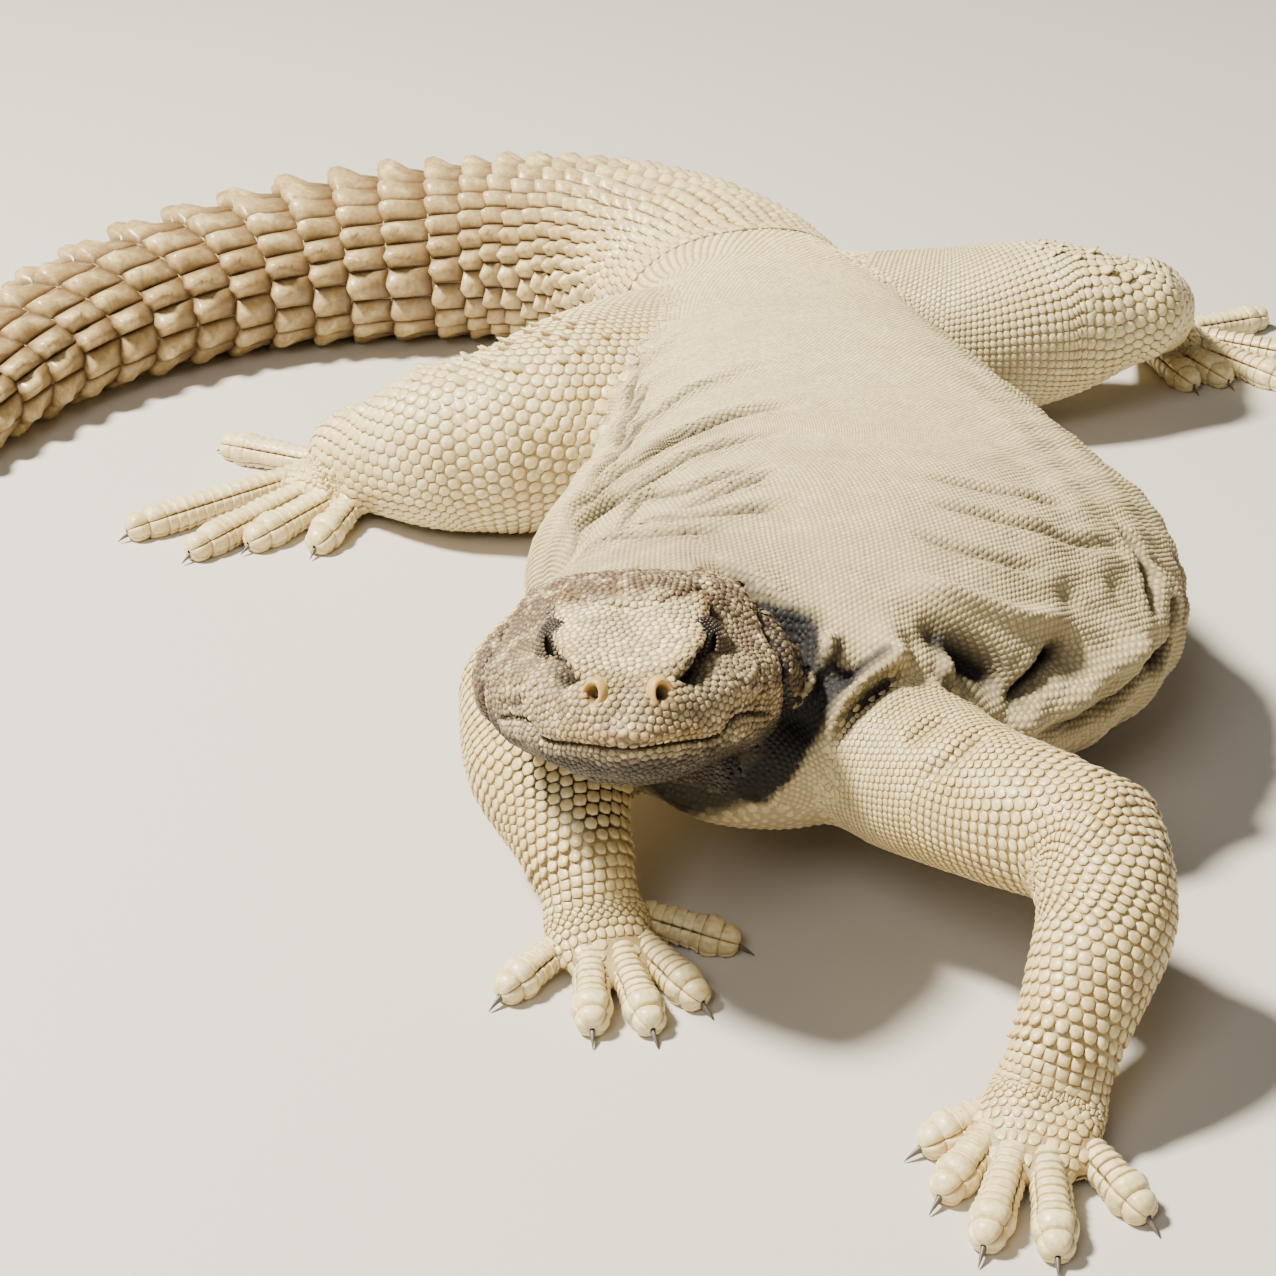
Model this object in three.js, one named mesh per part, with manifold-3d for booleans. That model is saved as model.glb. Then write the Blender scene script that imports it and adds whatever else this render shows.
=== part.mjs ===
// Egyptian spiny-tailed lizard (Uromastyx aegyptia), an adult at life size, standing on a flat floor.
// Millimetres, +Z up. The animal faces -Y. Its left side is +X, and its tail sweeps round towards -X.
// The origin is on the floor, in the middle of the flat on which the belly rests.
import * as THREE from "three";
import { mergeVertices } from "three/addons/utils/BufferGeometryUtils.js";
import Module from "manifold-3d";

const wasm = await Module();
wasm.setup();

// Driving dimensions
const ORIGIN = [-1, 75, 0]; // middle of the belly's flat, in the frame in which the stations are given
const GAP = 0.32; // between a piece and the piece it grows from
const FLOOR = 0;
const UP = [0, 0, 1];
const FORWARD = [0, -1, 0];
const TRUNK_SIDES = 28;
const NECK_SIDES = 20;
const NECK_RINGS = 9;
const LIMB_SIDES = 12;
const PALM_SIDES = 10;
const DIGIT_SIDES = 7;
const CLAW_SIDES = 6;
const SQUARENESS = 2.25; // of every section: 2 is an ellipse
const LIMB_RINGS = 6;
const END_RINGS = 2; // in the rounded end of a limb

// A station is the centre of a section, its half width, and its height above and depth below the centre.
// A smooth curve runs through all the stations of a piece.
const SPINE = [
  { at: [-33, -88, 36], side: 12, above: 8, below: 10 },
  { at: [-31, -84, 36], side: 22, above: 15, below: 16 },
  { at: [-25, -73, 37], side: 33, above: 23, below: 21 },
  { at: [-18, -59, 37], side: 44, above: 29, below: 23 },
  { at: [-10, -43, 36], side: 55, above: 33, below: 26 },
  { at: [-3, -25, 33], side: 66, above: 37, below: 29 },
  { at: [1, -6, 29], side: 73, above: 40, below: 29.5 },
  { at: [1, 15, 27], side: 68, above: 42, below: 28.5 },
  { at: [0, 41, 27], side: 60, above: 40, below: 28.5 },
  { at: [-2, 69, 27], side: 53, above: 37, below: 28.5 },
  { at: [-4, 98, 27], side: 47, above: 33, below: 28.5 },
  { at: [-7, 127, 27], side: 41, above: 29, below: 28.5 },
  { at: [-10, 155, 27], side: 38, above: 25, below: 28.5 },
  { at: [-17, 182, 26.5], side: 35, above: 22.5, below: 27.5 },
  { at: [-30, 210, 27], side: 35, above: 22, below: 28 },
  { at: [-53, 230, 27], side: 34.5, above: 21.5, below: 28 },
  { at: [-82, 239, 26], side: 33.5, above: 20.5, below: 27 },
  { at: [-113, 239, 24.5], side: 32, above: 19, below: 25.5 },
  { at: [-145, 234, 22.5], side: 30, above: 17.5, below: 23.5 },
  { at: [-175, 221, 20.5], side: 27, above: 15.5, below: 21.5 },
  { at: [-201, 199, 18], side: 24, above: 13.5, below: 19 },
  { at: [-220, 171, 15.5], side: 20, above: 11.5, below: 16.5 },
  { at: [-232, 140, 12.5], side: 15.5, above: 9, below: 13.5 },
  { at: [-238, 112, 9.5], side: 10, above: 6.5, below: 10.5 },
  { at: [-240, 90, 6], side: 5, above: 4, below: 6.5 },
];
const TRUNK_PIECES = { chest: [0, 5], belly: [5, 9], pelvis: [9, 13.2] };
const RINGS_PER_STATION = 1.5;

const NECK = [
  { at: [-13, -34, 49], side: 28, above: 17, below: 24 },
  { at: [-25, -48, 51], side: 28, above: 17, below: 24 },
  { at: [-37, -60, 53], side: 27, above: 15, below: 20 },
  { at: [-45, -73, 54], side: 24, above: 12, below: 16 },
];

// The tail's scutes stand in whorls. A scute rises to its own edge, where a point leans out over the next.
const TAIL = {
  start: 13.2, // station on the spine
  pieces: ["tail_root", "tail_sweep", "tail_middle", "tail_bend", "tail_end", "tail_tip"],
  whorls: [3, 3, 4, 4, 4, 4],
  scutes: 14,
  shortest: 0.55, // length of the last whorl over the first
  height: 1.7,
  point: 3.4,
  rise: 1.3,
  underside: 0.2, // how much of that the scutes under the tail have
};

const LIMBS = {
  upper_arm_right: {
    from: "chest",
    up: UP,
    stations: [
      { at: [-36, -20, 36], side: 18, above: 17, below: 17 },
      { at: [-50, -31, 35], side: 17, above: 16, below: 16 },
      { at: [-62, -43, 33], side: 15, above: 14, below: 14 },
      { at: [-68.5, -52, 32], side: 13, above: 13, below: 13 },
    ],
  },
  forearm_right: {
    from: "upper_arm_right",
    up: FORWARD,
    stations: [
      { at: [-69, -54, 32], side: 12.5, above: 12.5, below: 12.5 },
      { at: [-65, -68, 27], side: 15.5, above: 12, below: 12 },
      { at: [-59, -81, 21], side: 13.5, above: 10.5, below: 10.5 },
      { at: [-55, -92, 14], side: 10, above: 8, below: 8 },
    ],
  },
  upper_arm_left: {
    from: "chest",
    up: UP,
    stations: [
      { at: [-10, -62, 37], side: 17, above: 17, below: 17 },
      { at: [4, -85, 36], side: 17, above: 16, below: 16 },
      { at: [20, -105, 38], side: 14.5, above: 14, below: 14 },
      { at: [36, -120, 40], side: 12.5, above: 12.5, below: 12.5 },
    ],
  },
  forearm_left: {
    from: "upper_arm_left",
    up: FORWARD,
    stations: [
      { at: [37, -122, 40], side: 12, above: 12, below: 12 },
      { at: [37, -132, 32], side: 12.5, above: 12, below: 12 },
      { at: [32, -142, 23], side: 11, above: 10.5, below: 10.5 },
      { at: [27.5, -150, 14], side: 9.5, above: 8, below: 8 },
    ],
  },
  thigh_right: {
    from: "pelvis",
    up: UP,
    stations: [
      { at: [-16, 150, 28], side: 22, above: 18, below: 19 },
      { at: [-40, 124, 28], side: 26, above: 23, below: 25 },
      { at: [-60, 102, 27], side: 26, above: 25, below: 27 },
      { at: [-78, 93, 25], side: 22, above: 22, below: 25 },
    ],
  },
  shank_right: {
    from: "thigh_right",
    up: UP,
    stations: [
      { at: [-76, 94, 25], side: 20, above: 20, below: 23 },
      { at: [-92, 94, 23], side: 20.5, above: 20.5, below: 23 },
      { at: [-107, 100, 18], side: 16, above: 16, below: 18 },
      { at: [-120, 108.5, 14], side: 11, above: 10.5, below: 12 },
    ],
  },
  thigh_left: {
    from: "pelvis",
    up: UP,
    stations: [
      { at: [10, 166, 30], side: 17, above: 17, below: 19 },
      { at: [42, 160, 29], side: 23, above: 21, below: 25 },
      { at: [70, 163, 30], side: 22, above: 20.5, below: 22 },
      { at: [91, 165, 31], side: 14.5, above: 14, below: 14 },
    ],
  },
  shank_left: {
    from: "thigh_left",
    up: UP,
    stations: [
      { at: [91, 168, 30], side: 13, above: 13, below: 13 },
      { at: [98, 182, 25], side: 14, above: 13, below: 13 },
      { at: [102, 195, 19], side: 12.5, above: 11.5, below: 11.5 },
      { at: [104, 207, 14], side: 10, above: 8.5, below: 8.5 },
    ],
  },
};

// A palm or sole runs from the wrist to the knuckles. Each digit is given by its knuckle and its tip.
const PAWS = {
  hand_right: {
    from: "forearm_right",
    palm: [
      { at: [-55, -92, 13], side: 9, above: 6.5, below: 8 },
      { at: [-53, -98, 8], side: 10.5, above: 6, below: 9 },
      { at: [-51, -104, 5.5], side: 9, above: 3.5, below: 6 },
    ],
    digits: [
      { knuckle: [-44, -92], tip: [-28, -97] },
      { knuckle: [-46, -99], tip: [-34.5, -114.5] },
      { knuckle: [-48.5, -104], tip: [-43, -122.5] },
      { knuckle: [-54, -105], tip: [-53.4, -122.5] },
      { knuckle: [-59, -101], tip: [-69, -112.5] },
    ],
    width: 3.1,
  },
  hand_left: {
    from: "forearm_left",
    palm: [
      { at: [28, -147, 13], side: 9, above: 6.5, below: 8 },
      { at: [25, -154, 8], side: 11, above: 6, below: 9 },
      { at: [22, -162, 5.5], side: 9.5, above: 3.5, below: 6 },
    ],
    digits: [
      { knuckle: [17, -151], tip: [5.5, -157] },
      { knuckle: [16, -157], tip: [6.8, -169] },
      { knuckle: [18.5, -163], tip: [12, -181] },
      { knuckle: [24, -164], tip: [23, -183.5] },
      { knuckle: [30, -160], tip: [38, -174] },
    ],
    width: 3.1,
  },
  foot_right: {
    from: "shank_right",
    palm: [
      { at: [-115, 104, 14], side: 10.5, above: 8, below: 9 },
      { at: [-122, 109, 9], side: 12.5, above: 6.5, below: 10 },
      { at: [-130, 113, 6], side: 11, above: 4, below: 7 },
    ],
    digits: [
      { knuckle: [-118, 97], tip: [-125, 77.5] },
      { knuckle: [-123, 101], tip: [-141, 79] },
      { knuckle: [-128, 107], tip: [-155, 74] },
      { knuckle: [-132, 114], tip: [-172, 85.5] },
      { knuckle: [-130, 121], tip: [-155, 136] },
    ],
    width: 3.5,
  },
  foot_left: {
    from: "shank_left",
    palm: [
      { at: [104, 202, 14], side: 10.5, above: 8, below: 9 },
      { at: [110, 208, 9], side: 12.5, above: 6.5, below: 10 },
      { at: [117, 211, 6], side: 11, above: 4, below: 7 },
    ],
    digits: [
      { knuckle: [106, 200], tip: [113, 183] },
      { knuckle: [112, 203], tip: [123, 186] },
      { knuckle: [118, 206], tip: [140, 183] },
      { knuckle: [121, 211], tip: [156, 196] },
      { knuckle: [120, 218], tip: [143, 232] },
    ],
    width: 3.5,
  },
};
const KNUCKLE_HEIGHT = 5;
const DIGIT_SINK = 0.45; // how far a digit's round underside is flattened on the floor
const DIGIT_SWELL = [0.95, 0.9, 1, 1, 1.12, 0.85]; // from the knuckle to the end of the last plate
const CLAW = { length: 6.5, root: 1.9, drop: 1.2, rings: 3 };

// The head is given in its own frame: forward from the neck to the snout, across to its left, and up.
const HEAD = {
  at: [-45, -70, 53.5],
  pitch: 15, // degrees, nose up
  turn: -2, // degrees, towards its own right
  roll: 2,
  sides: 32,
  rings: 18,
  sections: [
    { forward: 0, wide: 25, top: 13.5, deep: 19, taper: 0.2 },
    { forward: 6, wide: 28.5, top: 15, deep: 21, taper: 0.2 },
    { forward: 14, wide: 30, top: 16.3, deep: 21.5, taper: 0.22 },
    { forward: 22, wide: 29, top: 16.5, deep: 20.5, taper: 0.34 },
    { forward: 30, wide: 26, top: 15, deep: 19, taper: 0.44 },
    { forward: 37, wide: 22.5, top: 12, deep: 18, taper: 0.4 },
    { forward: 43, wide: 18.5, top: 9, deep: 17, taper: 0.34 },
    { forward: 48, wide: 14.5, top: 6, deep: 15.5, taper: 0.25 },
    { forward: 52, wide: 10.5, top: 3, deep: 13.5, taper: 0.15 },
    { forward: 54.3, wide: 5.5, top: 0.3, deep: 10.5, taper: 0.05 },
  ],
  crownSquareness: 3.4,
};
const EYE = { radius: 5.4, forward: 30, across: 11.6, up: 5.3, hollow: 2, spread: 7 };
const LID = { thickness: 1.2, length: 9, height: 3.4, tilt: 28 };
const BROW = { forward: 31, across: 13.5, up: 11.5, length: 9, spread: 3.6, height: 2.4 };
const NOSTRIL = { place: 7.75, angle: 58, radius: 1.6, rim: 0.65 };
const EAR = { place: 0.6, angle: 2, length: 2.4, height: 7, depth: 3.4 };
const JOWL = { forward: 13, across: 30, up: -7, spread: 9, height: 2 };
const MOUTH = { corner: 28, height: -6.6, lip: 0.9, gap: 0.4, curl: 1.6, inset: 0.5 };

// Curves and sections

function limit(value, low, high) {
  return Math.min(Math.max(value, low), high);
}

function smooth(value) {
  const part = limit(value, 0, 1);
  return part * part * (3 - 2 * part);
}

function hump(distance, spread) {
  return Math.exp(-((distance / spread) ** 2));
}

function power(value, squareness) {
  return Math.sign(value) * Math.abs(value) ** (2 / squareness);
}

function radians(degrees) {
  return THREE.MathUtils.degToRad(degrees);
}

// A smooth curve through b and c, at t between them.
function through(a, b, c, d, t) {
  return b + 0.5 * t * (c - a + t * (2 * a - 5 * b + 4 * c - d + t * (3 * (b - c) + d - a)));
}

function between(stations, place, read) {
  const last = stations.length - 1;
  const first = limit(Math.floor(place), 0, last - 1);
  const near = [-1, 0, 1, 2].map((step) => read(stations[limit(first + step, 0, last)]));
  return through(...near, place - first);
}

function centreAt(stations, place) {
  return new THREE.Vector3(...[0, 1, 2].map((axis) => between(stations, place, (station) => station.at[axis])));
}

function frameAt(stations, place, up) {
  const step = 0.05;
  const last = stations.length - 1;
  const ahead = centreAt(stations, Math.min(place + step, last));
  const behind = centreAt(stations, Math.max(place - step, 0));
  const along = ahead.sub(behind).normalize();
  const across = new THREE.Vector3().crossVectors(along, new THREE.Vector3(...up)).normalize();
  const rise = new THREE.Vector3().crossVectors(across, along);
  return { at: centreAt(stations, place), along, across, rise };
}

// One closed line of points round a piece. grow moves it outwards, shift moves it along the piece.
function ringAt(stations, place, { up = UP, sides, grow = () => 0, shift = () => 0, scale = 1 }) {
  const frame = frameAt(stations, place, up);
  const side = between(stations, place, (station) => station.side);
  const above = between(stations, place, (station) => station.above);
  const below = between(stations, place, (station) => station.below);
  return Array.from({ length: sides }, (_, index) => {
    const angle = (index / sides) * Math.PI * 2;
    const extra = grow(index, angle);
    const height = Math.sin(angle) > 0 ? above : below;
    const across = power(Math.cos(angle), SQUARENESS) * (side * scale + extra);
    const rise = power(Math.sin(angle), SQUARENESS) * (height * scale + extra);
    return frame.at
      .clone()
      .addScaledVector(frame.across, across)
      .addScaledVector(frame.rise, rise)
      .addScaledVector(frame.along, shift(index, angle));
  });
}

function evenly(from, to, count) {
  return Array.from({ length: count }, (_, index) => from + ((to - from) * index) / (count - 1));
}

// Rings along a piece, between two places on its curve.
function ringsAlong(stations, from, to, count, options) {
  return evenly(from, to, count).map((place) => ringAt(stations, place, options));
}

// The rounded end of a limb, past its last station.
function roundEnd(stations, options) {
  const last = stations.length - 1;
  const reach = stations[last].side;
  return evenly(0, 1, END_RINGS + 2)
    .slice(1, -1)
    .map((part) => {
      const turn = (part * Math.PI) / 2;
      const shift = () => Math.sin(turn) * reach;
      return ringAt(stations, last, { ...options, shift, scale: Math.cos(turn) });
    });
}

// Solids

function solidOf(geometry) {
  geometry.deleteAttribute("normal");
  geometry.deleteAttribute("uv");
  const merged = mergeVertices(geometry, 1e-5);
  const vertProperties = new Float32Array(merged.attributes.position.array);
  const triVerts = new Uint32Array(merged.index.array);
  return new wasm.Manifold(new wasm.Mesh({ numProp: 3, vertProperties, triVerts }));
}

// A closed skin over the rings, with a flat cap at either end.
function loft(rings) {
  const sides = rings[0].length;
  const points = rings.flat();
  const faces = [];
  for (let row = 0; row < rings.length - 1; row += 1) {
    for (let index = 0; index < sides; index += 1) {
      const a = row * sides + index;
      const b = row * sides + ((index + 1) % sides);
      faces.push(a, b, b + sides, a, b + sides, a + sides);
    }
  }
  const caps = [
    [0, false],
    [(rings.length - 1) * sides, true],
  ];
  for (const [start, flip] of caps) {
    const middle = new THREE.Vector3();
    points.slice(start, start + sides).forEach((point) => middle.addScaledVector(point, 1 / sides));
    const hub = points.push(middle) - 1;
    for (let index = 0; index < sides; index += 1) {
      const a = start + index;
      const b = start + ((index + 1) % sides);
      faces.push(...(flip ? [a, b, hub] : [b, a, hub]));
    }
  }
  const geometry = new THREE.BufferGeometry().setFromPoints(points);
  geometry.setIndex(facesOutward(points, faces));
  return solidOf(geometry);
}

// The same faces, turned over if they look into the body.
function facesOutward(points, faces) {
  let volume = 0;
  for (let index = 0; index < faces.length; index += 3) {
    const [a, b, c] = faces.slice(index, index + 3).map((corner) => points[corner]);
    volume += a.dot(new THREE.Vector3().crossVectors(b, c));
  }
  return volume > 0 ? faces : faces.reverse();
}

// The same, resting on the floor: what would pass through it is laid flat.
function restingLoft(rings) {
  rings.flat().forEach((point) => {
    point.z = Math.max(point.z, FLOOR);
  });
  return loft(rings);
}

function largestOf(solid) {
  return solid.decompose().reduce((best, piece) => (piece.volume() > best.volume() ? piece : best));
}

function cutBy(solid, cutters) {
  return largestOf(cutters.reduce((left, cutter) => left.subtract(cutter), solid));
}

function geometryOf(solid) {
  const mesh = solid.getMesh();
  const geometry = new THREE.BufferGeometry();
  geometry.setAttribute("position", new THREE.BufferAttribute(new Float32Array(mesh.vertProperties), 3));
  geometry.setIndex(new THREE.BufferAttribute(new Uint32Array(mesh.triVerts), 1));
  return geometry;
}

function sphere(radius, centre, { stretch = [1, 1, 1], detail = 8 } = {}) {
  const geometry = new THREE.SphereGeometry(radius, 2 * detail, detail);
  geometry.scale(...stretch);
  geometry.translate(...centre);
  return solidOf(geometry);
}

// Trunk, neck and tail

function trunkPlaces([from, to]) {
  return evenly(from, to, Math.ceil((to - from) * RINGS_PER_STATION) + 1);
}

function makeTrunk() {
  const options = { sides: TRUNK_SIDES };
  return Object.entries(TRUNK_PIECES).map(([name, span]) => {
    const rings = trunkPlaces(span).map((place) => ringAt(SPINE, place, options));
    if (span[0] > 0) rings[0] = ringAt(SPINE, span[0], { ...options, shift: () => GAP });
    return [name, restingLoft(rings)];
  });
}

// The whole trunk, larger by the gap, to cut what grows from it.
function trunkTool() {
  const places = new Set(Object.values(TRUNK_PIECES).flatMap(trunkPlaces));
  return loft([...places].map((place) => ringAt(SPINE, place, { sides: TRUNK_SIDES, grow: () => GAP })));
}

function tailTool() {
  const options = { sides: TRUNK_SIDES, grow: () => TAIL.height + TAIL.rise + GAP };
  return loft(ringsAlong(SPINE, TAIL.start, TAIL.start + 4, 12, options));
}

function makeNeck(grow = 0) {
  return loft(ringsAlong(NECK, 0, NECK.length - 1, NECK_RINGS, { sides: NECK_SIDES, grow: () => grow }));
}

// Places on the spine at which the whorls of the tail begin, each a little shorter than the one before.
function whorlPlaces() {
  const steps = 60;
  const count = TAIL.whorls.reduce((sum, part) => sum + part, 0);
  const places = evenly(TAIL.start, SPINE.length - 1, steps + 1);
  const lengths = [0];
  for (let index = 1; index <= steps; index += 1) {
    const stretch = centreAt(SPINE, places[index]).distanceTo(centreAt(SPINE, places[index - 1]));
    lengths.push(lengths[index - 1] + stretch);
  }
  const shares = evenly(1, TAIL.shortest, count);
  const whole = shares.reduce((sum, part) => sum + part, 0);
  let passed = 0;
  return [0, ...shares].map((share) => {
    passed += share;
    const target = (passed / whole) * lengths[steps];
    const next = limit(lengths.findIndex((length) => length >= target - 1e-6), 1, steps);
    const part = (target - lengths[next - 1]) / (lengths[next] - lengths[next - 1]);
    return places[next - 1] + part * (places[next] - places[next - 1]);
  });
}

// The rings of one whorl: where it starts, the swell of its scutes, and their edge with its points.
function whorlRings(from, to, size) {
  const sides = TAIL.scutes * 2;
  const relief = (angle) => TAIL.underside + (1 - TAIL.underside) * smooth(0.75 + Math.sin(angle));
  const keel = (index) => index % 2 === 0;
  const swell = (index, angle) => size * TAIL.height * relief(angle) * (keel(index) ? 0.8 : 0.35);
  const edge = (index, angle) => {
    const point = keel(index) ? TAIL.height + TAIL.rise : TAIL.height * 0.5;
    return size * relief(angle) * point;
  };
  const lean = (index, angle) => (keel(index) ? size * TAIL.point * relief(angle) : 0);
  const length = to - from;
  return [
    ringAt(SPINE, from, { sides }),
    ringAt(SPINE, from + 0.45 * length, { sides, grow: swell }),
    ringAt(SPINE, from + 0.9 * length, { sides, grow: edge, shift: lean }),
  ];
}

function makeTail() {
  const places = whorlPlaces();
  const sides = TAIL.scutes * 2;
  const last = SPINE.length - 1;
  let whorl = 0;
  return TAIL.pieces.map((name, piece) => {
    const rings = [];
    const first = places[whorl];
    for (let count = 0; count < TAIL.whorls[piece]; count += 1) {
      const size = 1 - 0.45 * (whorl / (places.length - 1));
      rings.push(...whorlRings(places[whorl], places[whorl + 1], size));
      whorl += 1;
    }
    rings[0] = ringAt(SPINE, first, { sides, grow: () => -GAP, shift: () => GAP });
    rings.push(ringAt(SPINE, Math.min(places[whorl], last), { sides }));
    return [name, restingLoft(rings)];
  });
}

// Limbs

function limbRings(limb, grow) {
  const options = { up: limb.up, sides: LIMB_SIDES, grow: () => grow };
  const rings = ringsAlong(limb.stations, 0, limb.stations.length - 1, LIMB_RINGS, options);
  return [...rings, ...roundEnd(limb.stations, options)];
}

function digitSolid({ knuckle, tip }, width) {
  const heights = evenly(KNUCKLE_HEIGHT, width - DIGIT_SINK, DIGIT_SWELL.length);
  const stations = DIGIT_SWELL.map((size, index) => {
    const part = index / (DIGIT_SWELL.length - 1);
    const at = [0, 1].map((axis) => knuckle[axis] + (tip[axis] - knuckle[axis]) * part);
    return { at: [...at, heights[index]], side: width * size, above: width * size, below: width * size };
  });
  return restingLoft(stations.map((_, index) => ringAt(stations, index, { sides: DIGIT_SIDES })));
}

function clawSolid({ knuckle, tip }, width) {
  const ahead = new THREE.Vector3(tip[0] - knuckle[0], tip[1] - knuckle[1], 0).normalize();
  const stations = evenly(0, 1, CLAW.rings).map((part) => {
    const at = new THREE.Vector3(...tip, width - CLAW.drop * part * part).addScaledVector(
      ahead,
      GAP + CLAW.length * part,
    );
    const size = CLAW.root * (1 - 0.86 * part);
    return { at: at.toArray(), side: size * 0.8, above: size, below: size };
  });
  return restingLoft(stations.map((_, index) => ringAt(stations, index, { sides: CLAW_SIDES })));
}

function makePaw(name, paw, cutters) {
  const palm = ringsAlong(paw.palm, 0, paw.palm.length - 1, 5, { sides: PALM_SIDES });
  const end = roundEnd(paw.palm, { sides: PALM_SIDES }).slice(0, 1);
  const digits = paw.digits.map((digit) => digitSolid(digit, paw.width));
  const whole = digits.reduce((sum, digit) => sum.add(digit), restingLoft([...palm, ...end]));
  const claws = paw.digits.map((digit, index) => [`claw_${name}_${index + 1}`, clawSolid(digit, paw.width)]);
  return [[name, cutBy(whole, cutters)], ...claws];
}

// Head. Its own frame has x across to its left, -y forward and z up.

function headPoint(place, angle, grow = 0) {
  const read = (key) => between(HEAD.sections, place, (section) => section[key]);
  const upper = Math.sin(angle) > 0;
  const squareness = upper ? HEAD.crownSquareness : SQUARENESS;
  const up = power(Math.sin(angle), squareness) * (read(upper ? "top" : "deep") + grow);
  const crown = smooth(up / (0.6 * read("top")));
  const across = power(Math.cos(angle), squareness) * (read("wide") + grow) * (1 - read("taper") * crown);
  const forward = read("forward");
  const point = new THREE.Vector3(across, -forward, up);
  const outward = new THREE.Vector3(across, 0, up).normalize();
  return point.addScaledVector(outward, headRelief(forward, Math.abs(across), up));
}

// Brow ridges, the hollows of the eyes, jowls and the swell of the upper lip.
function headRelief(forward, across, up) {
  const near = (form) => Math.hypot(across - form.across, up - form.up);
  const brow = BROW.height * hump(forward - BROW.forward, BROW.length) * hump(near(BROW), BROW.spread);
  const eye = Math.hypot(forward - EYE.forward, near({ across, up: EYE.up }));
  const hollow = EYE.hollow * hump(eye, EYE.spread) * smooth(across / EYE.across);
  const jowl = JOWL.height * hump(Math.hypot(forward - JOWL.forward, up - JOWL.up), JOWL.spread);
  const lip = MOUTH.lip * hump(up - MOUTH.height - 1.6, 1.8) * smooth((forward - MOUTH.corner) / 6);
  return brow - hollow + jowl * smooth(across / JOWL.across) + lip;
}

function headRing(place, grow = 0) {
  return Array.from({ length: HEAD.sides }, (_, index) => {
    return headPoint(place, (index / HEAD.sides) * Math.PI * 2, grow);
  });
}

function headLoft(grow = 0) {
  return loft(evenly(0, HEAD.sections.length - 1, HEAD.rings).map((place) => headRing(place, grow)));
}

function normalAt(place, angle) {
  const step = 0.02;
  const ahead = headPoint(place + step, angle).sub(headPoint(place - step, angle));
  const round = headPoint(place, angle + step).sub(headPoint(place, angle - step));
  return round.cross(ahead).normalize();
}

// A geometry made about +Z is turned to lie along a direction, and moved.
function setOn(geometry, point, direction) {
  const turn = new THREE.Quaternion().setFromUnitVectors(new THREE.Vector3(0, 0, 1), direction);
  geometry.applyQuaternion(turn);
  geometry.translate(point.x, point.y, point.z);
  return solidOf(geometry);
}

// What lies below the line of the mouth and ahead of the corner of the jaw.
function jawRegion(grow) {
  const { corner, height, curl } = MOUTH;
  const outline = [
    [70, height + grow],
    [corner + 7, height + grow],
    [corner + 2.5, height + curl + grow],
    [corner - grow, height + curl * 0.6],
    [corner - 9 - grow, height - 7],
    [corner - 16 - grow, height - 40],
    [70, height - 40],
  ];
  const shape = new THREE.Shape(outline.map(([forward, up]) => new THREE.Vector2(forward, up)));
  const reach = 50;
  const geometry = new THREE.ExtrudeGeometry(shape, { depth: 2 * reach, bevelEnabled: false });
  geometry.translate(0, 0, -reach);
  const ahead = new THREE.Vector3(0, -1, 0);
  const rise = new THREE.Vector3(0, 0, 1);
  const basis = new THREE.Matrix4().makeBasis(ahead, rise, ahead.clone().cross(rise));
  geometry.applyMatrix4(basis);
  return solidOf(geometry);
}

// The slit between the lids, from the middle of the eye outwards.
function lidSlit(side) {
  const { length, height, tilt } = LID;
  const count = 10;
  const lens = (size) => {
    return Array.from({ length: count }, (_, index) => {
      const angle = (index / count) * Math.PI * 2 * side;
      const ahead = Math.cos(angle) * length * 0.5 * size;
      const rise = Math.sin(angle) * height * 0.5 * size;
      const lean = radians(tilt);
      const forward = EYE.forward + ahead * Math.cos(lean) + rise * Math.sin(lean);
      const up = EYE.up - ahead * Math.sin(lean) + rise * Math.cos(lean);
      return [forward, up];
    });
  };
  const rings = [
    [0.15, EYE.across],
    [2, EYE.across + 14],
  ].map(([size, across]) => lens(size).map(([forward, up]) => new THREE.Vector3(side * across, -forward, up)));
  return loft(rings);
}

function makeHead() {
  let head = headLoft();
  for (const side of [1, -1]) {
    const angle = (degrees) => (side > 0 ? radians(degrees) : Math.PI - radians(degrees));
    const eye = [side * EYE.across, -EYE.forward, EYE.up];
    head = head.add(sphere(EYE.radius + LID.thickness, eye));
    head = head.subtract(lidSlit(side)).subtract(sphere(EYE.radius + GAP, eye));
    const nostril = headPoint(NOSTRIL.place, angle(NOSTRIL.angle));
    const facing = normalAt(NOSTRIL.place, angle(NOSTRIL.angle));
    const rim = new THREE.TorusGeometry(NOSTRIL.radius, NOSTRIL.rim, 5, 10);
    head = head.add(setOn(rim, nostril, facing));
    head = head.subtract(sphere(NOSTRIL.radius, nostril.addScaledVector(facing, -0.2).toArray(), { detail: 4 }));
    const ear = headPoint(EAR.place, angle(EAR.angle)).toArray();
    head = head.subtract(sphere(EAR.height, ear, { stretch: [EAR.depth / EAR.height, EAR.length / EAR.height, 1] }));
  }
  return largestOf(head.subtract(jawRegion(MOUTH.gap)));
}

function makeJaw() {
  return largestOf(headLoft(-MOUTH.inset).intersect(jawRegion(0)));
}

function eyeMesh(side) {
  const geometry = new THREE.SphereGeometry(EYE.radius, 14, 8);
  geometry.deleteAttribute("normal");
  geometry.deleteAttribute("uv");
  const eye = piece(side > 0 ? "eye_left" : "eye_right", mergeVertices(geometry, 1e-5), FINISH.eye);
  eye.position.set(side * EYE.across, -EYE.forward, EYE.up);
  return eye;
}

// Finishes

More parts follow.
